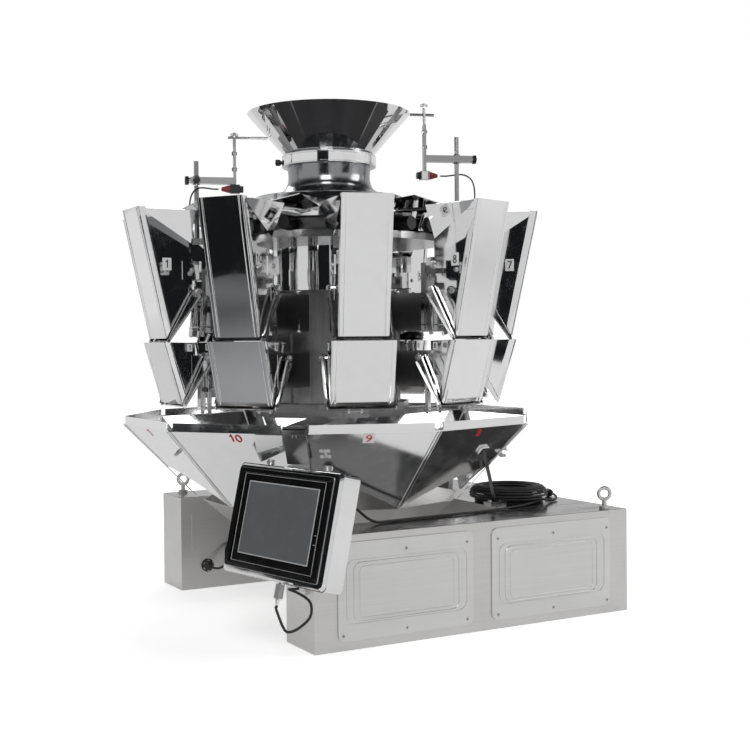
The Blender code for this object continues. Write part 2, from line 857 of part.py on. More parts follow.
def weigh_parts():
    hinge = (weigh_hinge_radius, weigh_bottom + weigh_hinge_rise)
    profile = side_profile(weigh_bottom_radius, weigh_lean, weigh_bottom, weigh_top, weigh_side_drop, hinge)
    low = weigh_bottom + weigh_bracket_rise
    seat = hopper_inner_radius + sheet_wall / 2
    hanger = bracket(low, low + weigh_bracket_height, weigh_bracket_half_width, seat)
    inside = weigh_width / 2 - sheet_wall
    notch = block(
        "notch", (hopper_inner_radius - overlap, -inside, weigh_top - weigh_wall_drop),
        (hopper_inner_radius + lip_width, inside, weigh_top + cutter_overrun),
    )
    shell = hopper("weigh_hopper", profile, weigh_width, hinge, [hanger], [notch])
    return shell, gate("weigh_gate", profile, weigh_width, hinge), hinge


def feed_parts():
    hinge = (feed_hinge_radius, feed_bottom + feed_hinge_rise)
    profile = side_profile(feed_bottom_radius, feed_lean, feed_bottom, feed_top, feed_side_drop, hinge)
    low = feed_bottom + feed_bracket_rise
    reach = hopper_inner_radius + feed_bracket_reach
    strap = bracket(low, low + feed_bracket_height, feed_width / 2 + bracket_wall - sheet_wall / 2, reach)
    shell = hopper("feed_hopper", profile, feed_width, hinge, [strap, wing(-1), wing(1)], [])
    return shell, gate("feed_gate", profile, feed_width, hinge), hinge


def weighing_heads():
    for kind, (shell, flap, hinge) in (("feed", feed_parts()), ("weigh", weigh_parts())):
        place = Matrix.Translation((hinge[0], 0, hinge[1]))
        for k in range(heads):
            turn = around(k * HEAD_STEP)
            link(f"{kind}_hopper_{k + 1:02d}", shell, steel).matrix_world = turn
            link(f"{kind}_gate_{k + 1:02d}", flap, steel).matrix_world = turn @ place


def feeder_pans():
    """Troughs side by side, folded from one ring of sheet: a flat floor, sides, and a ridge to the next."""
    points, faces = [], []
    rings = (
        (pan_inner_radius, pan_valley + pan_fall, pan_inner_side_height),
        (pan_outer_radius, pan_valley, pan_side_height),
    )
    for radius, floor, rise in rings:
        for k in range(heads):
            for share, height in ((-pan_floor_share, floor), (pan_floor_share, floor), (1, floor + rise)):
                a = k * HEAD_STEP + share * HALF_STEP
                points.append((radius * math.cos(a), radius * math.sin(a), height))
    around_count = 3 * heads
    for i in range(around_count):
        j = (i + 1) % around_count
        faces.append((i, i + around_count, j + around_count, j))
    cuts = []
    for places, distance, radius in (
        (support_angles.values(), post_distance, 2 * post_radius),
        (skirt_leg_angles, skirt_radius - skirt_wall / 2, 2 * skirt_leg_radius),
    ):
        for degrees in places:
            low = polar(distance, degrees, pan_valley - cutter_overrun)
            high = polar(distance, degrees, pan_valley + 2 * cutter_overrun)
            cuts.append(("DIFFERENCE", rod("hole", low, high, radius, 12)))
    link("feeder_pans", combine("feeder_pans", sheet("feeder_pans", points, faces, pan_wall), cuts), steel)
    cone = [
        (cone_radius, cone_bottom + cone_edge), (cone_radius, cone_bottom), (0, cone_bottom),
        (0, cone_bottom + cone_height),
    ]
    link("top_cone", turned("top_cone", cone, 32), steel)


def infeed():
    wall = infeed_wall
    funnel = [
        (infeed_top_radius, infeed_top), (infeed_bottom_radius, clamp_top + clearance),
        (infeed_bottom_radius - wall, clamp_top + clearance), (infeed_top_radius - wall, infeed_top),
    ]
    link("infeed_funnel", turned("infeed_funnel", funnel, 48), steel)
    thin = skirt_wall
    skirt = [
        (clamp_ring_radius, clamp_top), (clamp_ring_radius, throat_top),
        (skirt_waist_radius + thin, throat_top), (skirt_waist_radius, skirt_waist),
        (skirt_radius, skirt_bottom), (skirt_radius - thin, skirt_bottom),
        (skirt_waist_radius - thin, skirt_waist), (skirt_waist_radius - thin, clamp_top),
    ]
    link("feeder_skirt", turned("feeder_skirt", skirt, 40), steel)


def support(side):
    """A post, its cross arm, the slotted slide that holds the sensor, and the mast with its reach rod."""
    foot, arm = disc_top + clearance, disc_top + arm_rises[side]
    slide, deep = slide_distances[side], slide_thickness
    slide_low, slide_top = arm - slide_belows[side], arm + slide_above
    mast_top = slide_top + mast_lengths[side]
    rod_height = mast_top - reach_rod_drops[side]
    funnel_edge = infeed_top_radius if rod_height > infeed_top - knob_radius else on_line(
        (clamp_top, infeed_bottom_radius), (infeed_top, infeed_top_radius), rod_height)
    slotted = combine(
        "slide",
        block("slide", (slide - deep, -slide_half_width, slide_low), (slide, slide_half_width, slide_top)),
        [("DIFFERENCE", block(
            "slot", (slide - deep - cutter_overrun, -slot_half_width, arm + slot_low),
            (slide + cutter_overrun, slot_half_width, arm + slot_high)))],
    )
    middle = slide - deep / 2
    meshes = [
        rod("post", (post_distance, 0, foot), (post_distance, 0, disc_top + post_lengths[side]), post_radius),
        block("arm", (slide - deep / 2, -arm_half_width, arm - arm_height / 2),
              (post_distance + arm_ends[side], arm_half_width, arm + arm_height / 2)),
        rod("knob", (post_distance + arm_ends[side] - overlap, 0, arm),
            (post_distance + arm_ends[side] + knob_length, 0, arm), knob_radius, 10),
        slotted,
        rod("mast", (middle, 0, slide_top - mast_radius), (middle, 0, mast_top), mast_radius, 8),
        rod("reach_rod", (middle + reach_rod_outs[side], 0, rod_height),
            (funnel_edge + reach_rod_gap, 0, rod_height), reach_rod_radius, 8),
    ]
    return joined("support", meshes), middle, slide_low


def sensor(distance, top):
    """The level sensor under its slide: a cap that looks inwards, a block, and a tapered cable boot."""
    size, height = sensor_half_size, top - clearance - sensor_half_size
    half = sensor_length / 2
    meshes = [
        block("sensor", (distance - half, -size, height - size), (distance + half, size, height + size)),
        rod("cap", (distance - half + overlap, 0, height), (distance - half - sensor_cap_length, 0, height),
            sensor_cap_radius),
        rod("boot", (distance + half - overlap, 0, height), (distance + half + sensor_cone_length, 0, height),
            sensor_cap_radius, 12, sensor_cone_tip),
    ]
    return joined("sensor", meshes)


def supports():
    for side, degrees in support_angles.items():
        turn = around(math.radians(degrees))
        frame, distance, bottom = support(side)
        frame.transform(turn)
        link(f"funnel_support_{side}", frame, steel)
        eye = sensor(distance, bottom)
        eye.transform(turn)
        link(f"level_sensor_{side}", eye, black)


def display_place():
    turn, tilt = math.radians(display_turn), math.radians(display_tilt)
    centre = (base_left - display_out, display_in - base_half_width, base_height + display_rise)
    return Matrix.Translation(centre) @ around(turn + math.pi / 2) @ Matrix.Rotation(-tilt, 4, "X")


def display():
    """A shallow box with a sloping bezel round its sunk screen, and the cable's plug under it."""
    edge = rounded(display_width, display_height, display_corner)
    body = outline("housing", edge, display_depth - bezel_slope)
    moved(body, 0, (display_depth + bezel_slope) / 2, 0)
    bezel = sloping_face(display_width, display_height, bezel_slope)
    seat = outline(
        "screen_seat", rounded(screen_width + 2 * clearance, screen_height + 2 * clearance, screen_corner),
        2 * (screen_sink + screen_thickness + clearance),
    )
    moved(seat, screen_offset[0], 0, screen_offset[1])
    middle, low = display_depth / 2, -display_height / 2
    plug_end = low - plug_length
    plug = rod("plug", (plug_side, middle, low + overlap), (plug_side, middle, plug_end), plug_radius)
    boot = rod("boot", (plug_side, middle, plug_end + overlap),
               (plug_side, middle, plug_end - plug_boot_length), plug_boot_radius, 12, cable_radius)
    steps = [("UNION", bezel), ("UNION", plug), ("UNION", boot), ("DIFFERENCE", seat)]
    place = display_place()
    link("display_housing", combine("display_housing", body, steps), steel).matrix_world = place
    screen = outline("display_screen", rounded(screen_width, screen_height, screen_corner), screen_thickness)
    moved(screen, screen_offset[0], screen_sink + screen_thickness / 2, screen_offset[1])
    link("display_screen", screen, screen_glass).matrix_world = place


def sloping_face(width, height, slope):
    """The display's front as a low frustum: its face is smaller than the box behind it."""
    mesh = bpy.data.meshes.new("bezel")
    work = bmesh.new()
    loops = []
    for inwards, y in ((0, slope + overlap), (slope, 0)):
        edge = rounded(width - 2 * inwards, height - 2 * inwards, display_corner)
        loops.append([work.verts.new((x, y, z)) for x, z in edge])
    back, front = loops
    count = len(back)
    work.faces.new(back)
    work.faces.new(front)
    for i in range(count):
        work.faces.new((back[i], back[(i + 1) % count], front[(i + 1) % count], front[i]))
    bmesh.ops.recalc_face_normals(work, faces=work.faces)
    work.to_mesh(mesh)
    work.free()
    return mesh


def smooth_route(route, count):
    """Evenly many points on a smooth curve through the route's points (Catmull-Rom)."""
    route = [Vector(point) for point in route]
    padded = [2 * route[0] - route[1], *route, 2 * route[-1] - route[-2]]
    spans = len(route) - 1
    points = []
    for i in range(count + 1):
        place = min(i * spans / count, spans - clearance)
        span, t = int(place), place - int(place)
        a, b, c, d = padded[span:span + 4]
        square, cube = 2 * a - 5 * b + 4 * c - d, 3 * b - a - 3 * c + d
        points.append((2 * b + (c - a) * t + square * t ** 2 + cube * t ** 3) / 2)
    return points


def display_cable():
    """From the plug down in a loop and up to the gland on the end of the front arm, straight at both ends."""
    place = display_place()
    plug_low = -display_height / 2 - plug_length - plug_boot_length - clearance
    corner = Vector((base_left, -base_half_width, 0))
    end = corner + Vector((-gland_length - clearance, front_gland_inset, front_gland_height))
    starts = [place @ Vector((plug_side, display_depth / 2, plug_low - run)) for run in cable_runs]
    ends = [end - Vector((run, 0, 0)) for run in reversed(cable_runs)]
    loop = [corner + Vector(point) for point in cable_loop]
    route = smooth_route([*starts, *loop, *ends], cable_points)
    link("display_cable", tube("display_cable", route, cable_radius), black)


def coil():
    centre = (coil_ring_radius, base_height + clearance + coil_thickness)
    mesh = turned("cable_coil", circle(coil_thickness, 8, centre), 24)
    link("cable_coil", moved(mesh, base_right - coil_inset, -coil_side, 0), black)


def centre_on_floor():
    """Moves all pieces so that the middle of their box's underside is the origin. Free cords don't count."""
    bpy.context.view_layer.update()
    corners = [
        obj.matrix_world @ vertex.co
        for obj in parts.objects if obj.name not in cord_pieces for vertex in obj.data.vertices
    ]
    root = bpy.data.objects.new("weigher_origin", None)
    parts.objects.link(root)
    for axis in range(2):
        places = [corner[axis] for corner in corners]
        root.location[axis] = -(min(places) + max(places)) / 2
    for obj in parts.objects:
        if obj != root:
            obj.parent = root


base_frame()
covers()
chute()
machine_body()
weighing_heads()
feeder_pans()
infeed()
supports()
display()
display_cable()
coil()
centre_on_floor()
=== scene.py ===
"""The looks of a ten-head weigher: polished sheet hoppers, brushed cabinet, cables, fittings and display."""

import math

import bpy
import numpy as np
from mathutils import Matrix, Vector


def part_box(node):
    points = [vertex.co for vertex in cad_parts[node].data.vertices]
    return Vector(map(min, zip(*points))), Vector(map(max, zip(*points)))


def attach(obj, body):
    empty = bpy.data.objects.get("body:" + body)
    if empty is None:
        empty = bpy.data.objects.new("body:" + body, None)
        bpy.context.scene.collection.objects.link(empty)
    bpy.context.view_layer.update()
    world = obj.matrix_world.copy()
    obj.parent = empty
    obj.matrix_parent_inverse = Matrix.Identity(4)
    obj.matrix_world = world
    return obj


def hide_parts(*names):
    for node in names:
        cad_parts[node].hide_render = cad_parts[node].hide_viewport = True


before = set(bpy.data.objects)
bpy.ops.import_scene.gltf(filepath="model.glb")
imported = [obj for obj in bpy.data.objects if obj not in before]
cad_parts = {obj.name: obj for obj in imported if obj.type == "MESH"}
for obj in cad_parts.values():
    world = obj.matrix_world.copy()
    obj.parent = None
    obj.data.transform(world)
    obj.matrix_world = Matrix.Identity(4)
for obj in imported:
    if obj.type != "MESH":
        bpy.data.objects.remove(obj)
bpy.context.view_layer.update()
scene = bpy.context.scene

# The machine's upright axis runs through the middle of the infeed funnel. All places below are measured from
# it, in metres, with angles in degrees. A head's own places are its radius, its side and its height.
low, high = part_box("infeed_funnel")
AXIS = np.array([(low[0] + high[0]) / 2, (low[1] + high[1]) / 2, 0.0])

# Heads
HEADS = 10
HEAD_ANGLES = range(0, 360, 360 // HEADS)
HEAD_TEN_ANGLE = 216

# The base, and the small gap that keeps a dressed piece off the face that it sits on
BASE_TOP = 0.253
ARM_CORNER = np.array([-0.2915, -0.479, 0.0])
SEATED = 0.0003
COVER_FACE = 0.4812
COVER_SCREW_X = (-0.223, -0.0625, 0.099, 0.185, 0.3456, 0.509)
COVER_SCREW_Z = (0.2125, 0.0335)
COVER_SCREW, COVER_SOCKET = (0.0042, 0.0026), (0.0019, 0.0012)
COVER_SCREW_SINK, COVER_SOCKET_OUT = -0.0002, 0.0012
BEAD_FACE, BEAD_X, BEAD_Z = 0.482, (-0.0585, 0.343), 0.1255
BEADS = ((0.277, 0.134, 0.0042, 0.0018, 0.02), (0.247, 0.116, 0.0028, 0.0012, 0.014))
# The thin dark sheets on the tops of the arms and the box carry painted shade
ARM_TOP, ARM_TOP_X, ARM_TOP_SIDE = (0.8655, 0.1395), 0.1422, 0.4085
BOX_TOP, BOX_TOP_X = (0.253, 0.6735), 0.448
TOP_SHEET = (0.0006, 0.002, 0.0002)

# Printed numbers
DIGIT_PITCH_SHARE, DIGIT_SPACE_SHARE, STROKE_SHARE = 0.82, 0.22, 0.075
DIGIT_POINTS = 22

# Hoppers and gates: radius and height of the gate's hinge, of the panel's lowest edge and of its top edge
HINGES = {"feed": (0.388, 0.797), "weigh": (0.3675, 0.637)}
TIPS = {"feed": (0.465, 0.686), "weigh": (0.434, 0.53)}
TOPS = {"feed": (0.531, 0.996), "weigh": (0.4755, 0.677)}
HALVES = {"feed": 0.0568, "weigh": 0.072}
EARS = {"feed": 0.0648, "weigh": 0.08}
FOLD_LOW_GAP, FOLD_HIGH_GAP, FOLD_RETURN = 0.001, 0.0005, 0.018
FOLD_FACES = ((0.0016, 0.004, 0.0006), (0.0004, 0.0028, 0.0001))
FOLD_GROOVE = (0.0084, 0.0093, 0.0102, 0.0125)
NUMBER_PLATES = {"feed": (0.462, 0.862, 0.022), "weigh": (0.4135, 0.6635, 0.013)}
NUMBER_PLATE = (0.0008, 0.0015, 0.0002)
NUMBER_PLATE_GAP, PLATE_TALL_SHARE, NUMBER_SHARE = 0.0001, 1.35, 0.8
BRACKET_SIDE = 0.0589
BRACKET_BOLTS = ((0.4, 0.848, 0.0045, 0.0032), (0.388, 0.626, 0.0038, 0.003))
FLANGE_GAP, FLANGE_WIDTH, FLANGE_THICKNESS = 0.0002, 0.0044, 0.0014
FLANGE_LINES = (((0.004, 0.0112), (0.0, 0.0072)), ((0.004, -0.0112), (-0.005, 0.0005)))
PIVOT_GAP, PIVOT_HEAD = 0.0004, (0.0058, 0.0062)

# Drives: the upper one opens the feed gate, the lower one the weigh gate
DRIVE_PLATE_THICKNESS, DRIVE_PLATE_BEVEL, DRIVE_LINK_THICKNESS = 0.003, 0.0006, 0.002
DRIVE_PIN_BEVEL, ROLLER_BEVEL, PUSH_ROD_RADIUS, PUSH_BALL_RADIUS = 0.0008, 0.001, 0.003, 0.006
DRIVES = (
    {
        "plate": (0.034, 0.05), "plate_corner": 0.006, "plate_radius": 0.354,
        "plate_heights": (0.775, 0.712),
        "pin": (0.36, 0.018), "pin_heights": (0.706, 0.786), "pin_radius": 0.0045,
        "link_side": 0.0275, "link_top": (0.352, 0.79), "link_foot": (0.364, 0.69), "link_width": 0.012,
        "bolt": (0.352, 0.0287, 0.757), "bolt_size": (0.0048, 0.003),
        "roller": (0.352, 0.757), "roller_half": 0.0225, "roller_radius": 0.0095, "roller_sides": 18,
        "rod_top": (0.2135, 0.021, 0.796), "rod_foot": (0.228, 0.03, 0.7),
    },
    {
        "plate": (0.016, 0.044), "plate_corner": 0.005, "plate_radius": 0.343,
        "plate_heights": (0.602, 0.512),
        "pin": (0.3455, 0.015), "pin_heights": (0.508, 0.612), "pin_radius": 0.0035,
        "link_side": 0.024, "link_top": (0.343, 0.615), "link_foot": (0.346, 0.5), "link_width": 0.009,
        "bolt": (0.3445, 0.0252, 0.6), "bolt_size": (0.0034, 0.0026),
        "roller": (0.3445, 0.56), "roller_half": 0.019, "roller_radius": 0.006, "roller_sides": 16,
        "rod_top": (0.2135, -0.021, 0.672), "rod_foot": (0.222, -0.03, 0.585),
    },
)
CASE_SCREW, CASE_SCREW_PLACE, CASE_SCREW_HEIGHTS = (0.0045, 0.004), (0.1812, 0.012), (0.735, 0.62)

# Drum, top disc and the vibrators under the pans: outlines of (radius, height)
SLEEVE_OUTLINE = ((0.1501, 0.8015), (0.1506, 0.802), (0.1506, 0.9235), (0.1501, 0.924))
LIP_OUTLINE = ((0.1795, 0.7985), (0.185, 0.799), (0.185, 0.802), (0.151, 0.8028))
DISC_OUTLINE = ((0.232, 0.9405), (0.262, 0.941), (0.262, 0.966), (0.255, 0.975), (0.2, 0.982))
WINDING_RADIUS, WINDING_RIB, WINDING_LENGTH, WINDING_RIBS = 0.0165, 0.0012, 0.05, 7
WINDING_PLACE, WINDING_START = (0.268, 0.036, 0.9575), -0.005
SPRING_RADII, SPRING_SIDE, SPRING_WIDTH, SPRING_THICKNESS = (0.292, 0.3), 0.021, 0.012, 0.0012
SPRING_FOOT, SPRING_TOP = (-0.004, 0.943), (0.012, 0.986)
VIBRATOR_LEAD_RADIUS = 0.0022
VIBRATOR_LEAD = (
    (0.262, 0.06, 0.955), (0.28, 0.064, 0.962), (0.301, 0.058, 0.964), (0.306, 0.045, 0.955),
    (0.3, 0.036, 0.947),
)

# Chute: its plates rise outwards along one slope from their lower edge, given by its radius and height
CHUTE_RISE, CHUTE_RUN = 0.738070, 0.674724
CHUTE_EDGE = (0.3281, 0.282)
CHUTE_NUMBER_SIZE, CHUTE_NUMBER_Z, CHUTE_NUMBER_OUT = 0.021, 0.461, 0.0006
CHUTE_NUMBERS = {216: (0.008, 0.0), 252: (0.004, -0.04), 288: (-0.012, 0.35)}
PLAIN_CHUTE_NUMBER = (0.006, 0.05)
CHUTE_LABEL, CHUTE_LABEL_PLACE = (0.026, 0.03, 0.0005, 0.002, 0.0001), (252, 0.004, 0.461)
CHUTE_TAG = (
    (0.5066, 0.064, 0.4705), (0.5066, 0.136, 0.4705), (0.4855, 0.125, 0.4475), (0.4675, 0.05, 0.4278)
)
CHUTE_TAG_THICKNESS, CHUTE_TAG_ANGLE = 0.0012, 216
CHUTE_NUTS = ((252, -0.089, 0.426), (288, 0.146, 0.399), (180, 0.1, 0.42), (324, -0.1, 0.41), (72, 0.1, 0.42))
CHUTE_NUT_SIZE = 0.01
SEAM_ANGLES = range(18, 360, 36)
SEAM_LOW, SEAM_HIGH = np.array([0.3455, 0, 0.2835]), np.array([0.529, 0, 0.472])
SEAM_SIDE, SEAM_RADIUS, SEAM_LOW_OUT, SEAM_HIGH_OUT = 0.004, 0.0011, 0.0006, 0.0002
LEG_ANGLES = (18, 90, 234)
LEG_LINE = ((0.5299, 0, 0.4915), (0.5299, 0, 0.474), (0.4708, 0, 0.404), (0.4528, 0, 0.2545))
LEG_COVER_HALF, LEG_COVER_THICKNESS = 0.0253, 0.0008
LATCH_ANGLE, LATCH_SIDE, LATCH_TOP_Z, LATCH_PLATE_Z, LATCH_OUT = 288, 0.056, 0.415, 0.405, 0.004
LATCH_FOOT = np.array([0.33, -0.262, BASE_TOP])
LATCH_STRAP, LATCH_STRAP_RISE, LATCH_LEAN = (0.014, 0.002), 0.012, (1, 0.4, 0)
LATCH_PLATE, LATCH_BLOCK = (0.03, 0.05, 0.006, 0.004, 0.001), (0.05, 0.034, 0.0125, 0.003, 0.0012)
LATCH_BLOCK_RISE, LATCH_BOLT_RISE, LATCH_BOLT_SIDE, LATCH_BOLT = 0.0004, 0.0129, 0.016, (0.005, 0.004)

# Display: its middle, its own right and up directions, and what lies on its face, given by (across, up)
DISPLAY_MIDDLE = (-0.3705, -0.4754, 0.2908)
DISPLAY_RIGHT, DISPLAY_UP = (0.21303, -0.97705, 0), (0.22477, 0.04901, 0.97318)
DISPLAY_HALF = 0.1211
FRAME_EDGE, FRAME_POINTS = 0.0006, 5
BEZEL, BEZEL_EDGE = (0.3213, 0.2164, 0.0095, 0.0032, 0.004), (0.3233, 0.2184, 0.0009, 0.0012, 0.0045)
BEZEL_PLACE = (-0.0044, 0.0013, 0.0001)
SCREEN_LINE, SCREEN_LINE_PLACE = (0.2824, 0.193, 0.0011, 0.0009, 0.001), (-0.01, 0.002, -0.0019)
PANEL, PANEL_EDGE = (0.2407, 0.1553, 0.0009, 0.001, 0.0002), (0.2447, 0.1593, 0.0024, 0.0012, 0.001)
PANEL_PLACE = (-0.0082, 0.0033, -0.0019)
MARK = (0.006, 0.0012, 0.0006, 0.0005, 0.0001)
MARK_ACROSS = 0.1241
MARK_HEIGHTS = (-0.0118, -0.0313)
MARK_OUT = -0.0018
DISPLAY_NUTS_ACROSS, DISPLAY_NUT_BACK, DISPLAY_NUT_SIZE = (-0.118, 0.0815), -0.04, 0.0115
PLUG_ACROSS, PLUG_BACK, PLUG_DROP = 0.008, -0.025, 0.003
KNURL_RADIUS, KNURL_DEPTH, KNURL_LENGTH, KNURL_RIBS = 0.0098, 0.0006, 0.03, 12
PLUG_LENGTH, BOOT_LENGTH = 0.036, 0.012

# Cords: radii, routes and the coil
DISPLAY_CABLE_RADIUS, SENSOR_CABLE_RADIUS, REAR_CABLE_RADIUS, LEAD_RADIUS = 0.003, 0.002, 0.003, 0.00325
DISPLAY_RUNS, ARM_GLAND, ARM_GLAND_OUT = (0, 0.004, 0.008), (0.04, 0.14), 0.018
DISPLAY_LOOP = (
    (-0.0855, -0.03, 0.073), (-0.0735, -0.038, 0.068), (-0.0535, -0.045, 0.078), (-0.0365, -0.056, 0.1),
    (-0.0335, -0.049, 0.128), (-0.0465, -0.021, 0.143), (-0.0525, 0.011, 0.146), (-0.0425, 0.033, 0.142),
)
COIL_CENTRE = np.array([0.415, -0.2])
COIL_RADIUS, COIL_TUBE, TURNS, TURN_POINTS = 0.08, 0.0192, 15, 26
COIL_START, COIL_SECTION_START, COIL_SECTION_END = math.radians(285), math.radians(-60), math.radians(-385)
POWER_EXIT = (-0.185, -0.392, BASE_TOP + 0.024)
LEAD_REST = BASE_TOP + LEAD_RADIUS + 0.001
LEAD_IN = (
    POWER_EXIT, (-0.185, -0.392, 0.286), (-0.181, -0.3915, 0.298), (-0.168, -0.39, 0.306),
    (-0.15, -0.387, 0.303), (-0.13, -0.384, 0.29), (-0.105, -0.38, 0.27), (-0.08, -0.376, 0.2592),
    (-0.05, -0.371, LEAD_REST), (0.0, -0.366, LEAD_REST), (0.06, -0.3615, LEAD_REST),
    (0.12, -0.359, LEAD_REST), (0.18, -0.3565, LEAD_REST), (0.24, -0.3505, LEAD_REST),
    (0.3, -0.339, LEAD_REST), (0.345, -0.324, LEAD_REST), (0.385, -0.309, LEAD_REST),
    (0.415, -0.2965, 0.2585),
)
LEAD_OUT = (
    (0.462, -0.2895, 0.2648), (0.487, -0.2825, 0.2602), (0.51, -0.271, 0.2582), (0.529, -0.255, 0.2595),
    (0.541, -0.237, 0.2625), (0.5465, -0.222, 0.2641), (0.5485, -0.216, 0.2643), (0.5505, -0.21, 0.2643),
)
POWER_PLUG_BODY = (
    (0.0078, 0.016), (0.0098, 0.02), (0.0092, 0.026), (0.0104, 0.034), (0.0104, 0.0375), (0.0096, 0.0385)
)
POWER_PLUG_RELIEF, POWER_PLUG_FLARE, POWER_PLUG_RIB = 0.0155, 0.0035, 0.0004
POWER_PIN, POWER_PIN_SIDE, POWER_PIN_START = ((0.002, 0.0), (0.002, 0.0065), (0.0012, 0.0078)), 0.005, 0.0384
LEFT_ANGLE, RIGHT_ANGLE = 162, 342
LEFT_CABLE = (
    (0.2843, 0, 1.0645), (0.292, 0, 1.0645), (0.302, 0.0005, 1.065), (0.318, 0.005, 1.0665),
    (0.334, 0.0095, 1.0655), (0.348, 0.0105, 1.056), (0.3565, 0.009, 1.036), (0.358, 0.006, 1.0),
    (0.3545, 0.003, 0.97), (0.3505, 0.001, 0.952), (0.3495, 0, 0.9406),
)
RIGHT_CABLE = (
    (0.2953, 0, 1.1075), (0.302, 0, 1.1075), (0.313, 0.003, 1.108), (0.33, 0.0095, 1.111),
    (0.35, 0.0108, 1.114), (0.37, 0.0095, 1.11), (0.3855, 0.007, 1.094), (0.3905, 0.005, 1.06),
    (0.385, 0.003, 1.02), (0.37, 0.001, 0.98), (0.354, 0, 0.953), (0.35, 0, 0.9406),
)
REAR_CABLE = (
    (-0.2165, 0.3125, 0.063), (-0.2165, 0.306, 0.063), (-0.214, 0.294, 0.0615), (-0.204, 0.286, 0.061),
    (-0.19, 0.286, 0.066), (-0.18, 0.294, 0.079), (-0.174, 0.309, 0.096), (-0.165, 0.3245, 0.112),
    (-0.147, 0.3335, 0.1205), (-0.12, 0.3337, 0.1215), (-0.04, 0.3337, 0.116), (0.06, 0.3337, 0.122),
    (0.15, 0.3337, 0.117), (0.24, 0.3337, 0.122), (0.3, 0.3337, 0.121), (0.3197, 0.3337, 0.121),
)
POWER_GLAND, REAR_GLAND = (-0.185, -0.392, BASE_TOP + SEATED), (-0.2165, 0.337 - SEATED, 0.063)
FRONT_GLAND = (-0.2918, -0.439, 0.14)
TIES, TIE_Y, TIE_HALF, TIE_RADIUS = ((-0.1, 0.121), (0.06, 0.122), (0.24, 0.122)), 0.3368, 0.005, 0.0008

# Skirt, clamp and sensor supports
BELL_OUTER = (
    (0.19, 1.0432), (0.172, 1.0452), (0.148, 1.0492), (0.128, 1.056), (0.1155, 1.065), (0.1085, 1.076),
    (0.1055, 1.088), (0.105, 1.1), (0.107, 1.1225), (0.12, 1.1235), (0.12, 1.152),
)
BELL_INNER = (
    (0.103, 1.152), (0.103, 1.1), (0.1035, 1.088), (0.1065, 1.075), (0.1137, 1.0635), (0.1268, 1.0542),
    (0.1475, 1.0474), (0.1715, 1.0434), (0.19, 1.0421),
)
CLAMP_OUTLINE = ((0.1202, 1.1235), (0.1208, 1.124), (0.1208, 1.1515), (0.1202, 1.152))
BAND_OUTLINE = ((0.1202, 0.0), (0.1213, 0.0004), (0.1213, 0.0036), (0.1202, 0.004))
BAND_HEIGHTS = (1.1245, 1.147)
CLAMP_KNOB, CLAMP_KNOB_ANGLE, CLAMP_KNOB_PLACE = (0.008, 0.018), 153, (0.1203, 1.137)
SUPPORTS = (
    {
        "angle": LEFT_ANGLE, "arm": 1.085, "end": 0.356, "slide": 0.246, "slide_below": 0.009,
        "mast_top": 1.208, "sleeved": False,
    },
    {
        "angle": RIGHT_ANGLE, "arm": 1.152, "end": 0.38, "slide": 0.256, "slide_below": 0.033,
        "mast_top": 1.296, "sleeved": True,
    },
)
POST_RADIUS, END_KNOB, SIDE_KNOB, SIDE_KNOB_OUT = 0.34, (0.0112, 0.0135), (0.0085, 0.014), 0.0112
CLIP_RADIUS, CLIP_WIRE, CLIP_RISES = 0.0078, 0.0015, (0.011, -0.011)
SLIDE_BOLT_RISES, SLIDE_FRONT, SLIDE_BACK = (0.03, 0.07), 0.0002, -0.0062
FRONT_BOLT, BACK_BOLT = (0.0052, 0.004), (0.0046, 0.003)
SLIDE_MIDDLE, MAST_NUT_DROP, MAST_NUT_SIZE = -0.003, 0.012, 0.008
SENSOR_HALF, SENSOR_SLEEVE, SLEEVE_DROP = 0.011, (0.0225, 0.0228, 0.0228, 0.002, 0.0008), 0.0114
BOOT_OUTLINE, BOOT_START = ((0.0098, 0.0), (0.0098, 0.003), (0.0046, 0.0217)), 0.0125

# Camera and studio
CAMERA_PLACE = (-1.4539, -2.8441, 0.6714)
CAMERA_YAW, CAMERA_DOWN, CAMERA_ROLL = 0.5081, 0.0262, -0.0095
LENS_MM, SENSOR_MM = 59.12, 36
FLOOR_HALF, FLOOR_DROP = 30.0, 0.0005
DARK_CARDS = {
    "dark_card_left": ((-3.1, -0.4, 0.2), 3.2, 0.4, (1, 0, 0)),
    "dark_card_behind": ((-2.7, 1.5, 0.85), 1.5, 0.8, (0.755, -0.656, 0)),
    "dark_card_near": ((-2.75, -3.0, 1.5), 2.0, 1.9, (0.67, 0.74, 0)),
    "dark_card_right": ((1.0, -2.7, 1.15), 1.2, 0.7, (0, 1, 0)),
}
# A flat glowing card that only reflections see: a painted reflection of a grey, banded studio floor
PAINTED_REFLECTION_CARD = ((-2.05, -0.4, 0.004), 2.1, 2.4, (0, 0, 1))
LIGHTS = {
    "key_light": ((-2.0, -2.6, 3.0), (0, 0, 0.6), (1.6, 1.6), 38),
    "fill_light": ((2.6, -1.8, 2.4), (0, 0, 0.6), (1.4, 1.4), 24),
    "back_light": ((0.6, 2.6, 2.8), (0, 0, 0.8), (1.8, 1.2), 30),
}
SKY_STOPS = ((0.47, 0.75), (0.5, 0.95), (0.68, 0.9), (0.76, 0.25), (0.84, 0.06))
SKY_STRENGTH = 0.74


# Shapes as arrays: a shell is its points and its faces, whose unused corner is -1

def turn(degrees):
    """A turn about the upright axis, as a 4x4 matrix."""
    a = math.radians(degrees)
    m = np.eye(4)
    m[:2, :2] = [[math.cos(a), -math.sin(a)], [math.sin(a), math.cos(a)]]
    return m


def shift(x, y, z):
    m = np.eye(4)
    m[:3, 3] = (x, y, z)
    return m


def basis(origin, right, up):
    """A place with its own right and up directions; its third direction comes out of them."""
    right, up = np.array(right, float), np.array(up, float)
    right /= np.linalg.norm(right)
    up = up - right * (up @ right)
    up /= np.linalg.norm(up)
    m = np.eye(4)
    m[:3, 0], m[:3, 1], m[:3, 2], m[:3, 3] = right, up, np.cross(right, up), origin
    return m


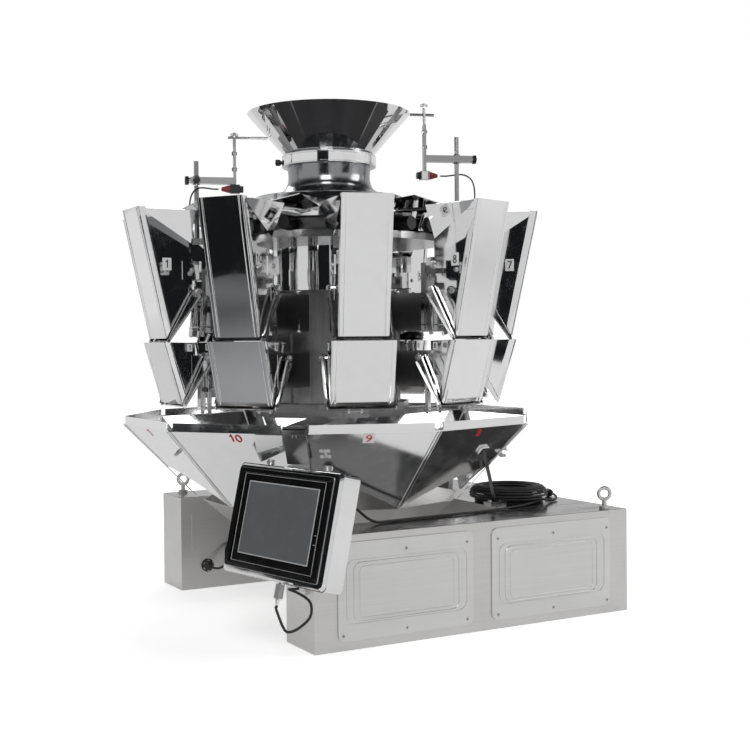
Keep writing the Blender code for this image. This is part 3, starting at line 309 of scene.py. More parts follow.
def along(start, end):
    """A place at start whose third direction runs to end, and the distance between them."""
    start, end = np.array(start, float), np.array(end, float)
    way = end - start
    length = np.linalg.norm(way)
    way /= length
    side = np.cross(way, (0, 0, 1) if abs(way[2]) < 0.9 else (1, 0, 0))
    return basis(start, side, np.cross(way, side)), length


def facing(origin, normal, up=(0, 0, 1)):
    """A place at origin whose third direction is normal and whose second leans to up."""
    normal, up = np.array(normal, float), np.array(up, float)
    return basis(origin, np.cross(up, normal), up - normal * (up @ normal) / (normal @ normal))


def at(place, x, y, z):
    """A point given in a place's own directions."""
    return place[:3, :3] @ np.array([x, y, z]) + place[:3, 3]


def polar(radius, degrees, height, side=0.0):
    """A point at a radius and height in the direction of degrees, moved sideways along the circle."""
    a = math.radians(degrees)
    return np.array(
        [radius * math.cos(a) - side * math.sin(a), radius * math.sin(a) + side * math.cos(a), height]
    )


def placed(shell, matrix):
    points, faces = shell
    return points @ matrix[:3, :3].T + matrix[:3, 3], faces


def merged(shells):
    """Several shells as one: points end to end, and each one's faces shifted past the points before it."""
    offsets = np.cumsum([0] + [len(points) for points, _ in shells[:-1]])
    faces = [np.where(f < 0, f, f + offset) for (_, f), offset in zip(shells, offsets)]
    return np.concatenate([points for points, _ in shells]), np.concatenate(faces)


def ring(shells, angles=HEAD_ANGLES):
    """The same shells at each of the angles round the machine."""
    shell = merged(shells)
    return [placed(shell, turn(a)) for a in angles]


def skin(rings, closed_path=False):
    """Quads between rings of points (rings x points x 3), each ring closed.

    The end rings of an open path are capped by a fan to their middle."""
    count, size, _ = rings.shape
    i, j = np.meshgrid(np.arange(count if closed_path else count - 1), np.arange(size), indexing="ij")
    a, b = i * size + j, i * size + (j + 1) % size
    c, d = (i + 1) % count * size + (j + 1) % size, (i + 1) % count * size + j
    faces = np.stack([a, b, c, d], axis=-1).reshape(-1, 4)
    points = rings.reshape(-1, 3)
    if closed_path:
        return points, faces
    n = len(points)
    points = np.concatenate([points, rings[:1].mean(axis=1), rings[-1:].mean(axis=1)])
    j, last = np.arange(size), (count - 1) * size
    none = np.full(size, -1)
    first_cap = np.stack([np.full(size, n), (j + 1) % size, j, none], axis=-1)
    last_cap = np.stack([np.full(size, n + 1), last + j, last + (j + 1) % size, none], axis=-1)
    return points, np.concatenate([faces, first_cap, last_cap])


def turned(profile, sides):
    """A profile of (radius, height) as rings: x = radius cos a, y = radius sin a, for a over a full turn."""
    profile = np.array(profile, float)
    a = np.linspace(0, 2 * np.pi, sides, endpoint=False)
    radius, height = profile[:, :1], profile[:, 1:]
    return np.stack([radius * np.cos(a), radius * np.sin(a), height + 0 * a], axis=-1)


def lathe(profile, sides=24):
    """A solid turned about the third direction from a profile that runs from one end to the other."""
    return skin(turned(profile, sides))


def hoop(profile, sides=96):
    """A ring turned about the third direction from a closed profile, open in its middle."""
    return skin(turned(profile, sides), closed_path=True)


def rod(start, end, radius, sides=10, bevel=0.0):
    """A round bar between two points, its ends broken by a small bevel."""
    place, length = along(start, end)
    if bevel:
        profile = [(radius - bevel, 0), (radius, bevel), (radius, length - bevel), (radius - bevel, length)]
    else:
        profile = [(radius, 0), (radius, length)]
    return placed(lathe(profile, sides), place)


def rounded(width, height, corner, segments=4):
    """A rectangle with round corners: quarter circles about the four corner centres."""
    quarter = np.linspace(0, np.pi / 2, segments + 1)
    signs = np.array([(1, 1), (-1, 1), (-1, -1), (1, -1)], float)
    a = quarter[None, :] + np.arange(4)[:, None] * np.pi / 2
    x = signs[:, :1] * (width / 2 - corner) + corner * np.cos(a)
    y = signs[:, 1:] * (height / 2 - corner) + corner * np.sin(a)
    return np.stack([x.ravel(), y.ravel()], axis=-1)


def slab(width, height, depth, corner=0.002, bevel=0.0008, segments=4):
    """A plate on the XY plane: one rounded outline at four heights, drawn in by the bevel at both faces."""
    rings = []
    for inset, z in ((bevel, 0), (0, bevel), (0, depth - bevel), (bevel, depth)):
        outline = rounded(width - 2 * inset, height - 2 * inset, max(corner - inset, 0.0002), segments)
        rings.append(np.column_stack([outline, np.full(len(outline), z)]))
    return skin(np.array(rings))


def sweep(path, profile, closed=False, up=(0, 0, 1)):
    """A profile carried along a path: it stands across the path's direction, its own up leaning to up."""
    path, profile, up = np.array(path, float), np.array(profile, float), np.array(up, float)
    if closed:
        way = np.roll(path, -1, axis=0) - np.roll(path, 1, axis=0)
    else:
        way = np.gradient(path, axis=0)
    way /= np.linalg.norm(way, axis=1, keepdims=True)
    side = np.cross(way, up)
    side /= np.linalg.norm(side, axis=1, keepdims=True)
    top = np.cross(side, way)
    rings = path[:, None] + side[:, None] * profile[None, :, :1] + top[:, None] * profile[None, :, 1:]
    return skin(rings, closed_path=closed)


def circle(radius, sides=8):
    a = np.linspace(0, 2 * np.pi, sides, endpoint=False)
    return np.column_stack([radius * np.cos(a), radius * np.sin(a)])


def smooth_route(route, count):
    """Evenly many points on a smooth curve through the route's points (Catmull-Rom)."""
    route = np.array(route, float)
    padded = np.concatenate([2 * route[:1] - route[1:2], route, 2 * route[-1:] - route[-2:-1]])
    place = np.minimum(np.arange(count + 1) * (len(route) - 1) / count, len(route) - 1.0003)
    span = place.astype(int)
    t = (place - span)[:, None]
    a, b, c, d = (padded[span + i] for i in range(4))
    return (2 * b + (c - a) * t + (2 * a - 5 * b + 4 * c - d) * t ** 2 + (3 * b - a - 3 * c + d) * t ** 3) / 2


def plate(front, back):
    """A closed sheet between two grids of points: both faces, and the strip round their border."""
    rows, columns, _ = front.shape
    i, j = np.meshgrid(np.arange(rows - 1), np.arange(columns - 1), indexing="ij")
    a = (i * columns + j).ravel()
    face = np.stack([a, a + columns, a + columns + 1, a + 1], axis=-1)
    total = rows * columns
    border = np.concatenate([
        np.arange(columns), np.arange(1, rows) * columns + columns - 1,
        np.arange(columns - 2, -1, -1) + (rows - 1) * columns, np.arange(rows - 2, 0, -1) * columns,
    ])
    following = np.roll(border, -1)
    strip = np.stack([border, following, following + total, border + total], axis=-1)
    points = np.concatenate([front.reshape(-1, 3), back.reshape(-1, 3)])
    return points, np.concatenate([face, face[:, ::-1] + total, strip])


def prism(corners, depth):
    """A flat plate from its corners: the same outline moved along its normal by depth."""
    corners = np.array(corners, float)
    normal = np.cross(corners[1] - corners[0], corners[2] - corners[0])
    normal /= np.linalg.norm(normal)
    return skin(np.stack([corners, corners + normal * depth]))


def bar(start, end, width, thickness, across):
    """A flat bar from one point to another; across is the direction of its width."""
    start, end = np.array(start, float), np.array(end, float)
    place = basis((start + end) / 2, end - start, across)
    length = np.linalg.norm(end - start)
    flat = slab(length, width, thickness, min(width, length) * 0.3, thickness * 0.2, 3)
    return placed(flat, place @ shift(0, 0, -thickness / 2))


def ball(centre, radius, sides=12):
    """Rings at radius cos a and height radius sin a, from just above one pole to just below the other."""
    a = np.linspace(-np.pi / 2 + 0.05, np.pi / 2 - 0.05, 8)
    return placed(lathe(np.column_stack([radius * np.cos(a), radius * np.sin(a)]), sides), shift(*centre))


def cap_screw(place, radius, height):
    """A round head with a socket in it, on the XY plane of place."""
    rim = radius * 0.45
    outside = [(radius, 0), (radius, height * 0.6), (radius * 0.8, height), (rim, height)]
    socket = [(rim * 0.9, height * 0.45), (0.0002, height * 0.4)]
    return placed(lathe(outside + socket, 14), place)


def hex_bolt(place, radius, height):
    """A washer and a six-sided head with a chamfered top."""
    washer = lathe([(radius * 1.35, 0), (radius * 1.35, height * 0.3), (radius, height * 0.35)], 18)
    head = lathe(
        [(radius, height * 0.3), (radius, height * 0.85), (radius * 0.85, height), (0.0002, height)], 6
    )
    return placed(merged([washer, head]), place)


def wing_nut(place, size):
    """A stud, a tapered hub and two upright wings."""
    wing = placed(slab(size * 0.95, size, size * 0.2, size * 0.4, size * 0.06), shift(0, 0, -size * 0.1))
    wings = [
        placed(wing, place @ basis((side * size * 0.8, 0, size * 0.8), (side, 0, 0.55), (-side * 0.55, 0, 1)))
        for side in (-1, 1)
    ]
    hub = lathe(
        [(size * 0.5, 0), (size * 0.5, size * 0.3), (size * 0.36, size * 0.8), (0.0004, size * 0.85)], 14
    )
    stud = lathe([(size * 0.2, 0), (size * 0.2, size * 1.25), (0.0004, size * 1.3)], 10)
    return [*wings, placed(hub, place), placed(stud, place)]


def lobed(start, direction, radius, length, lobes=6):
    """A hand knob: its rim is at radius times 1 + 0.08 cos(lobes a), between a hub and a domed end."""
    start, direction = np.array(start, float), np.array(direction, float)
    place, _ = along(start, start + direction)
    a = np.linspace(0, 2 * np.pi, 6 * lobes, endpoint=False)
    rings = []
    for share, z in ((0.55, 0), (0.6, 0.2), (0.95, 0.3), (1.0, 0.45), (1.0, 0.85), (0.9, 0.96), (0.5, 1.0)):
        r = radius * share * (1 + (0.08 * np.cos(lobes * a) if share > 0.7 else 0 * a))
        rings.append(np.column_stack([r * np.cos(a), r * np.sin(a), np.full(len(a), z * length)]))
    return placed(skin(np.array(rings)), place)


def frame_band(width, height, band, thickness, corner):
    """A rectangular frame with round corners: its flat profile, carried round the outline, is a band wide."""
    edge = FRAME_EDGE
    profile = (
        (0, 0), (0, thickness - edge), (edge, thickness), (band - edge, thickness),
        (band, thickness - edge), (band, 0),
    )
    rings = []
    for inset, z in profile:
        outline = rounded(width - 2 * inset, height - 2 * inset, max(corner - inset, edge), FRAME_POINTS)
        rings.append(np.column_stack([outline, np.full(len(outline), z)]))
    return skin(np.array(rings), closed_path=True)


def piece(name, shells, look, body="frame", smooth=40):
    """Puts shells into one mesh object that rides on a body."""
    points, faces = merged(shells)
    points = points + AXIS
    mesh = bpy.data.meshes.new(name)
    mesh.vertices.add(len(points))
    mesh.vertices.foreach_set("co", points.astype(np.float32).ravel())
    sizes = np.where(faces[:, 3] < 0, 3, 4)
    mesh.loops.add(int(sizes.sum()))
    mesh.loops.foreach_set("vertex_index", faces[faces >= 0].astype(np.int32))
    mesh.polygons.add(len(faces))
    mesh.polygons.foreach_set("loop_start", np.concatenate([[0], np.cumsum(sizes)[:-1]]).astype(np.int32))
    mesh.polygons.foreach_set("use_smooth", np.ones(len(faces), bool))
    mesh.update(calc_edges=True)
    mesh.validate()
    mesh.set_sharp_from_angle(angle=math.radians(smooth))
    mesh.materials.append(look)
    made = bpy.data.objects.new(name, mesh)
    scene.collection.objects.link(made)
    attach(made, body)
    return made


# Printed numbers: each digit is a line through points given as shares of its height

DIGIT_SHARES = {
    "0": [(0.3, 1), (0.03, 0.75), (0.03, 0.25), (0.3, 0), (0.57, 0.25), (0.57, 0.75), (0.3, 1)],
    "1": [(0.12, 0.78), (0.24, 0.88), (0.36, 1), (0.36, 0.5), (0.36, 0)],
    "2": [(0.04, 0.78), (0.3, 1), (0.55, 0.76), (0.3, 0.4), (0.03, 0), (0.3, 0), (0.58, 0)],
    "3": [(0.05, 0.85), (0.3, 1), (0.53, 0.78), (0.28, 0.54), (0.57, 0.26), (0.3, 0), (0.03, 0.15)],
    "4": [(0.44, 0), (0.44, 0.5), (0.44, 1), (0.2, 0.62), (0.02, 0.3), (0.3, 0.3), (0.58, 0.3)],
    "5": [(0.54, 1), (0.1, 1), (0.07, 0.55), (0.34, 0.64), (0.57, 0.32), (0.3, 0), (0.03, 0.12)],
    "6": [(0.5, 0.95), (0.2, 0.75), (0.04, 0.3), (0.3, 0), (0.57, 0.28), (0.3, 0.52), (0.06, 0.34)],
    "7": [(0.02, 1), (0.3, 1), (0.57, 1), (0.38, 0.5), (0.22, 0)],
    "8": [
        (0.3, 0.54), (0.07, 0.77), (0.3, 1), (0.53, 0.77), (0.3, 0.54), (0.03, 0.27), (0.3, 0), (0.57, 0.27),
        (0.3, 0.54),
    ],
    "9": [(0.1, 0.05), (0.4, 0.25), (0.56, 0.7), (0.3, 1), (0.03, 0.72), (0.3, 0.48), (0.54, 0.66)],
}


def number(text, height, place, thickness=0.0004):
    """A printed number, middled on place's origin: each digit is a flat stroke along a smooth line."""
    stroke = height * STROKE_SHARE
    profile = [(-stroke, 0), (stroke, 0), (stroke, thickness), (-stroke, thickness)]
    middle = (len(text) * DIGIT_PITCH_SHARE - DIGIT_SPACE_SHARE) / 2
    shells = []
    for index, digit in enumerate(text):
        line = smooth_route(DIGIT_SHARES[digit], DIGIT_POINTS) * height
        line[:, 0] += (index * DIGIT_PITCH_SHARE - middle) * height
        line[:, 1] -= height / 2
        shells.append(placed(sweep(np.column_stack([line, np.zeros(len(line))]), profile), place))
    return shells


def head_number(angle):
    """The heads are numbered against the turn."""
    return str(round((HEAD_TEN_ANGLE - angle) * HEADS / 360) % HEADS or HEADS)


# Materials

def grey(value, warm=0.0):
    return (value * (1 + warm), value, value * (1 - warm), 1)


class Tree:
    """A short way to add and link shader nodes."""

    def __init__(self, tree):
        self.tree = tree

    def add(self, kind, links=None, **settings):
        made = self.tree.nodes.new(kind)
        for name, value in settings.items():
            setattr(made, name, value)
        for name, value in (links or {}).items():
            socket = made.inputs[name]
            if isinstance(value, bpy.types.NodeSocket):
                self.tree.links.new(value, socket)
            else:
                socket.default_value = value
        return made

    def noise(self, place, scale, detail, roughness=0.5, distortion=0.0):
        links = {
            "Vector": place, "Scale": scale, "Detail": detail, "Roughness": roughness,
            "Distortion": distortion,
        }
        return self.add("ShaderNodeTexNoise", links).outputs["Fac"]

    def spread(self, value, low, high, to_low=0.0, to_high=1.0):
        """The value's stretch from low to high laid onto the one from to_low to to_high."""
        links = {"Value": value, "From Min": low, "From Max": high, "To Min": to_low, "To Max": to_high}
        return self.add("ShaderNodeMapRange", links).outputs["Result"]

    def sum(self, operation, *values):
        return self.add("ShaderNodeMath", dict(enumerate(values)), operation=operation).outputs[0]

    def scaled(self, color, share):
        return self.add(
            "ShaderNodeVectorMath", {0: color, "Scale": share}, operation="SCALE"
        ).outputs["Vector"]

    def bump(self, strength, distance, height):
        links = {"Strength": strength, "Distance": distance, "Height": height}
        return self.add("ShaderNodeBump", links).outputs["Normal"]


FINISH_OUTPUTS = {"Color": "NodeSocketColor", "Roughness": "NodeSocketFloat", "Normal": "NodeSocketVector"}


def group(name, inputs):
    """A shader group with named inputs and a finish's three outputs.

    It gives its tree, its inputs, and a function that joins the outputs to what the group works out."""
    made = bpy.data.node_groups.new(name, "ShaderNodeTree")
    kinds = {3: "NodeSocketVector", 4: "NodeSocketColor"}
    for label, value in inputs.items():
        kind = "NodeSocketFloat" if isinstance(value, float) else kinds[len(value)]
        made.interface.new_socket(label, in_out="INPUT", socket_type=kind).default_value = value
    for label, kind in FINISH_OUTPUTS.items():
        made.interface.new_socket(label, in_out="OUTPUT", socket_type=kind)
    tree = Tree(made)

    def give(*sockets):
        tree.add("NodeGroupOutput", dict(zip(FINISH_OUTPUTS, sockets)))
        return made

    return tree, tree.add("NodeGroupInput").outputs, give


def make_sheet_group():
    """Polished sheet: long soft waves bend its reflections, smudges dull them, and its tone varies."""
    inputs = {"Wave": 0.1, "Smudge": 0.06, "Base Roughness": 0.04, "Tint": grey(0.86)}
    tree, given, give = group("polished_sheet", inputs)
    place = tree.add("ShaderNodeTexCoord").outputs["Object"]
    waves = tree.noise(place, 5.0, 1.0, 0.4)
    smears = tree.noise(place, 22.0, 4.0, 0.6, 0.6)
    fine = tree.noise(place, 420.0, 2.0)
    dull = tree.sum("MULTIPLY", tree.spread(smears, 0.45, 0.75), given["Smudge"])
    grain = tree.sum("MULTIPLY_ADD", fine, 0.015, dull)
    rough = tree.sum("ADD", given["Base Roughness"], grain)
    color = tree.scaled(given["Tint"], tree.spread(smears, 0.2, 0.8, 0.94, 1.0))
    return give(color, rough, tree.bump(given["Wave"], 0.02, waves))


def make_grain_group():
    """Brushed metal: noise stretched along one direction shades, roughens and slightly grooves it."""
    inputs = {"Stretch": (3, 3, 900), "Depth": 0.1, "Base Roughness": 0.3, "Spread": 0.12, "Tint": grey(0.6)}
    tree, given, give = group("brushed_grain", inputs)
    place = tree.add("ShaderNodeTexCoord").outputs["Object"]
    pulled = tree.add("ShaderNodeVectorMath", {0: place, 1: given["Stretch"]}, operation="MULTIPLY")
    lines = tree.noise(pulled.outputs["Vector"], 1.0, 3.0, 0.7)
    clouds = tree.noise(place, 9.0, 3.0)
    shade = tree.sum(
        "MULTIPLY", tree.spread(lines, 0.25, 0.75, 0.93, 1.04), tree.spread(clouds, 0.3, 0.7, 0.97, 1.02)
    )
    rough = tree.sum("MULTIPLY_ADD", lines, given["Spread"], given["Base Roughness"])
    return give(tree.scaled(given["Tint"], shade), rough, tree.bump(given["Depth"], 0.0004, lines))


def make_mould_group():
    """Moulded rubber or plastic: a fine pebble, faint dust in patches and a slight change of tone."""
    inputs = {"Pebble": 0.15, "Size": 900.0, "Base Roughness": 0.5, "Dust": 0.05, "Tint": grey(0.02)}
    tree, given, give = group("moulded_grain", inputs)
    place = tree.add("ShaderNodeTexCoord").outputs["Object"]
    pebble = tree.noise(place, given["Size"], 2.0)
    clouds = tree.noise(place, 30.0, 4.0, 0.6)
    dust = tree.sum("MULTIPLY", tree.spread(clouds, 0.5, 0.8), given["Dust"])
    color = tree.add("ShaderNodeMix", {"Factor": dust}, data_type="RGBA")
    tree.tree.links.new(given["Tint"], color.inputs["A"])
    color.inputs["B"].default_value = (0.5, 0.49, 0.47, 1)
    rough = tree.sum("MULTIPLY_ADD", clouds, 0.15, given["Base Roughness"])
    return give(color.outputs["Result"], rough, tree.bump(given["Pebble"], 0.0003, pebble))


SHEET, GRAIN, MOULD = make_sheet_group(), make_grain_group(), make_mould_group()


def finish(name, effect_group, values, metallic=1.0):
    """A Principled material whose colour, roughness and normal come from one of the groups."""
    made = bpy.data.materials.new(name)
    made.use_nodes = True
    shader = made.node_tree.nodes["Principled BSDF"]
    effect = Tree(made.node_tree).add("ShaderNodeGroup", node_tree=effect_group)
    for label, value in values.items():
        effect.inputs[label].default_value = value
    for label, socket in (("Color", "Base Color"), ("Roughness", "Roughness"), ("Normal", "Normal")):
        made.node_tree.links.new(effect.outputs[label], shader.inputs[socket])
    shader.inputs["Metallic"].default_value = metallic
    return made


def polished(name, wave, smudge, roughness, tint):
    return finish(name, SHEET, {"Wave": wave, "Smudge": smudge, "Base Roughness": roughness, "Tint": tint})


def brushed(name, stretch, roughness, tint, depth=0.1, spread=0.12):
    values = {"Stretch": stretch, "Base Roughness": roughness, "Tint": tint, "Depth": depth, "Spread": spread}
    return finish(name, GRAIN, values)


def moulded(name, roughness, tint, pebble=0.15, dust=0.05):
    values = {"Tint": tint, "Base Roughness": roughness, "Pebble": pebble, "Dust": dust}
    return finish(name, MOULD, values, 0.0)


hopper_sheet = polished("hopper_sheet", 0.08, 0.05, 0.03, grey(0.88))
gate_sheet = polished("gate_sheet", 0.12, 0.08, 0.05, grey(0.84))
flange_sheet = polished("flange_sheet", 0.1, 0.1, 0.2, grey(0.52))
funnel_sheet = polished("funnel_sheet", 0.1, 0.04, 0.03, grey(0.86))
chute_sheet = polished("chute_sheet", 0.06, 0.08, 0.09, grey(0.84))
display_sheet = polished("display_sheet", 0.05, 0.03, 0.03, grey(0.85))
polished_bar = polished("polished_bar", 0.02, 0.06, 0.08, grey(0.8))
skirt_steel = polished("skirt_steel", 0.16, 0.2, 0.15, (0.31, 0.315, 0.33, 1))
dark_mirror = polished("dark_mirror", 0.08, 0.06, 0.06, grey(0.09))
# Dark polished sheet for the base tops: painted shade, darker than the cabinet steel
arm_top_painted_shade = polished("arm_top_painted_shade", 0.04, 0.14, 0.16, grey(0.3))
band_steel = polished("band_steel", 0.06, 0.05, 0.05, grey(0.95))
cabinet_steel = brushed("cabinet_steel", (4, 4, 700), 0.26, grey(0.66, 0.01))
cover_steel = brushed("cover_steel", (4, 4, 700), 0.28, grey(0.72, 0.005))
chute_brushed = brushed("chute_brushed", (60, 60, 400), 0.25, grey(0.5, 0.02))
body_steel = brushed("body_steel", (140, 140, 3), 0.2, grey(0.34), depth=0.02, spread=0.08)
support_sheet = brushed("support_sheet", (30, 30, 500), 0.24, grey(0.4), depth=0.04)
dark_steel = brushed("dark_steel", (400, 400, 30), 0.3, grey(0.16))
zinc = brushed("zinc", (300, 300, 300), 0.26, grey(0.62))
rubber = moulded("rubber", 0.42, grey(0.015), dust=0.04)
black_plastic = moulded("black_plastic", 0.35, grey(0.012), pebble=0.1)
red_plastic = moulded("red_plastic", 0.35, (0.22, 0.012, 0.018, 1))
label_white = moulded("label_white", 0.35, grey(0.8), pebble=0.03)
label_red = moulded("label_red", 0.35, (0.55, 0.02, 0.02, 1), pebble=0.03)
screen_glass = moulded("screen_glass", 0.03, grey(0.006), pebble=0.0, dust=0.01)
screen_grey = moulded("screen_grey", 0.25, (0.1, 0.108, 0.118, 1), pebble=0.02)
screen_line = moulded("screen_line", 0.3, grey(0.55), pebble=0.02)

NODE_LOOKS = {
    "base_frame": cabinet_steel, "cover": cover_steel, "upper_chute": chute_sheet,
    "lower_funnel": chute_brushed, "machine_body": body_steel, "feeder_pans": funnel_sheet,
    "top_cone": funnel_sheet, "infeed_funnel": funnel_sheet, "feeder_skirt": skirt_steel,
    "display_housing": display_sheet, "display_screen": screen_glass, "feed_hopper": hopper_sheet,
    "weigh_hopper": hopper_sheet, "feed_gate": gate_sheet, "weigh_gate": gate_sheet,
    "funnel_support": support_sheet, "level_sensor": black_plastic, "cable_coil": rubber,
    "display_cable": rubber,
}
for name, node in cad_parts.items():
    look = next(look for start, look in NODE_LOOKS.items() if name.startswith(start))
    node.data.materials.clear()
    node.data.materials.append(look)


# Camera, light and floor

def make_camera():
    """The photograph's viewpoint: it looks along its yaw, slightly down, rolled by half a degree."""
    data = bpy.data.cameras.new("camera")
    data.sensor_width, data.lens = SENSOR_MM, LENS_MM
    made = bpy.data.objects.new("camera", data)
    scene.collection.objects.link(made)
    ahead, sideways = math.cos(CAMERA_YAW), math.sin(CAMERA_YAW)
    level, down = math.cos(CAMERA_DOWN), math.sin(CAMERA_DOWN)
    forward = np.array([sideways * level, ahead * level, -down])
    right = np.array([ahead, -sideways, 0])
    up = np.cross(right, forward)
    rolled = right * math.cos(CAMERA_ROLL) + up * math.sin(CAMERA_ROLL)
    place = np.eye(4)
    place[:3, 0], place[:3, 1], place[:3, 2] = rolled, np.cross(rolled, forward), -forward
    place[:3, 3] = np.array(CAMERA_PLACE) + AXIS
    made.matrix_world = Matrix(place.tolist())
    scene.camera = made


def bare_material(name):
    """A material with no nodes yet, and its tree."""
    made = bpy.data.materials.new(name)
    made.use_nodes = True
    made.node_tree.nodes.clear()
    return made, Tree(made.node_tree)


def glowing(tree, color, strength):
    glow = tree.add("ShaderNodeEmission", {"Color": (*color, 1), "Strength": strength})
    tree.add("ShaderNodeOutputMaterial", {"Surface": glow.outputs[0]})


def make_dark_look():
    made, tree = bare_material("dark_card")
    glowing(tree, (0.008, 0.009, 0.01), 1.0)
    return made


def make_streak_look():
    """A painted reflection for mirrors: a grey glow in faint slanted bands, as of a studio floor."""
    made, tree = bare_material("painted_floor_reflection")
    place = tree.add("ShaderNodeNewGeometry").outputs["Position"]
    split = tree.add("ShaderNodeSeparateXYZ", {"Vector": place})
    # The painted reflection glows more towards the machine
    near = tree.spread(split.outputs["X"], -2.6, -1.3, 0.1, 0.32)
    waves = {"Vector": place, "Scale": 0.9, "Distortion": 2.5, "Detail": 1.0}
    bands = tree.add("ShaderNodeTexWave", waves, bands_direction="DIAGONAL")
    glowing(tree, (0.96, 0.97, 1.0), tree.sum("MULTIPLY_ADD", bands.outputs["Fac"], 0.045, near))
    return made


def make_floor_look():
    """White paper that glows towards its edges, and more so to the camera, to meet the background."""
    made = bpy.data.materials.new("floor_paper")
    made.use_nodes = True
    tree = Tree(made.node_tree)
    shader = made.node_tree.nodes["Principled BSDF"]
    shader.inputs["Base Color"].default_value = grey(0.86)
    shader.inputs["Roughness"].default_value = 0.9
    shader.inputs["Specular IOR Level"].default_value = 0.05
    place = tree.add("ShaderNodeNewGeometry").outputs["Position"]
    reach = tree.add("ShaderNodeVectorMath", {0: place}, operation="LENGTH").outputs["Value"]
    to_camera = tree.add("ShaderNodeLightPath").outputs["Is Camera Ray"]
    glow = tree.add("ShaderNodeMix", {"Factor": to_camera}, data_type="FLOAT")
    made.node_tree.links.new(tree.spread(reach, 2.6, 7.0, 0.3, 0.62), glow.inputs["A"])
    made.node_tree.links.new(tree.spread(reach, 0.6, 1.4, 0.62, 1.0), glow.inputs["B"])
    shader.inputs["Emission Color"].default_value = (1, 1, 1, 1)
    made.node_tree.links.new(glow.outputs["Result"], shader.inputs["Emission Strength"])
    return made


def card(name, centre, width, height, normal, look):
    """A studio card that only reflections see, standing upright or lying flat."""
    upright = abs(normal[2]) < 0.9
    place = basis(
        centre, np.cross((0, 0, 1), normal) if upright else (1, 0, 0), (0, 0, 1) if upright else (0, 1, 0)
    )
    corners = np.array([(-1, -1, 0), (1, -1, 0), (1, 1, 0), (-1, 1, 0)]) * (width / 2, height / 2, 0)
    mesh = bpy.data.meshes.new(name)
    mesh.from_pydata((corners @ place[:3, :3].T + place[:3, 3]).tolist(), [], [(0, 1, 2, 3)])
    mesh.materials.append(look)
    made = bpy.data.objects.new(name, mesh)
    scene.collection.objects.link(made)
    made.visible_camera = made.visible_diffuse = made.visible_shadow = False


def soft_light(name, centre, target, size, power):
    data = bpy.data.lights.new(name, "AREA")
    data.shape, data.size, data.size_y, data.energy = "RECTANGLE", size[0], size[1], power
    made = bpy.data.objects.new(name, data)
    scene.collection.objects.link(made)
    place, _ = along(target, centre)
    place[:3, 3] = centre
    made.matrix_world = Matrix(place.tolist())
    made.visible_camera = False


def make_world():
    """White to the camera; to reflections a bright horizon under a dark ceiling."""
    world = bpy.data.worlds.new("studio")
    scene.world = world
    world.use_nodes = True
    world.node_tree.nodes.clear()
    tree = Tree(world.node_tree)
    way = tree.add("ShaderNodeSeparateXYZ", {"Vector": tree.add("ShaderNodeTexCoord").outputs["Generated"]})
    ramp = tree.add("ShaderNodeValToRGB", {"Fac": tree.sum("MULTIPLY_ADD", way.outputs["Z"], 0.5, 0.5)})
    first, last = ramp.color_ramp.elements
    first.position, first.color = 0.0, grey(0.5)
    last.position, last.color = 1.0, (0.04, 0.04, 0.045, 1)
    for position, value in SKY_STOPS:
        ramp.color_ramp.elements.new(position).color = grey(value)
    seen = tree.add("ShaderNodeBackground", {"Color": (1, 1, 1, 1), "Strength": 1.0})
    around = tree.add("ShaderNodeBackground", {"Color": ramp.outputs["Color"], "Strength": SKY_STRENGTH})
    to_camera = tree.add("ShaderNodeLightPath").outputs["Is Camera Ray"]
    mix = tree.add("ShaderNodeMixShader", {0: to_camera, 1: around.outputs[0], 2: seen.outputs[0]})
    tree.add("ShaderNodeOutputWorld", {"Surface": mix.outputs[0]})


def make_floor():
    mesh = bpy.data.meshes.new("floor")
    corners = [(-1, -1, 0), (1, -1, 0), (1, 1, 0), (-1, 1, 0)]
    mesh.from_pydata([(x * FLOOR_HALF, y * FLOOR_HALF, z) for x, y, z in corners], [], [(0, 1, 2, 3)])
    mesh.materials.append(make_floor_look())
    made = bpy.data.objects.new("floor", mesh)
    scene.collection.objects.link(made)
    made.location.z = -FLOOR_DROP


def make_studio():
    make_world()
    make_floor()
    dark = make_dark_look()
    for name, place in DARK_CARDS.items():
        card(name, *place, dark)
    # The flat card glows grey with bands: a painted floor reflection
    card("painted_reflection_card_left", *PAINTED_REFLECTION_CARD, make_streak_look())
    for name, values in LIGHTS.items():
        soft_light(name, *values)
    scene.view_settings.view_transform = "Standard"


make_camera()
make_studio()


# Cords

DISPLAY = basis(DISPLAY_MIDDLE, DISPLAY_RIGHT, DISPLAY_UP)


def cord(name, path, radius):
    """A cable as one curve of round section, with its ends filled."""
    data = bpy.data.curves.new(name, "CURVE")
    data.dimensions = "3D"
    data.bevel_depth, data.bevel_resolution, data.use_fill_caps = radius, 3, True
    spline = data.splines.new("POLY")
    spline.points.add(len(path) - 1)
    places = np.column_stack([np.array(path) + AXIS, np.ones(len(path))])
    spline.points.foreach_set("co", places.ravel())
    spline.use_smooth = True
    data.materials.append(rubber)
    made = bpy.data.objects.new(name, data)
    scene.collection.objects.link(made)
    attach(made, "frame")
    return made


def declared(name, path, radius):
    """A cord as cord() makes it; its measured length and its exit are worked out here but not kept."""
    made = cord(name, path, radius)
    length = float(np.linalg.norm(np.diff(np.array(path), axis=0), axis=1).sum())
    tuple(np.array(path[0]) + AXIS)
    return made


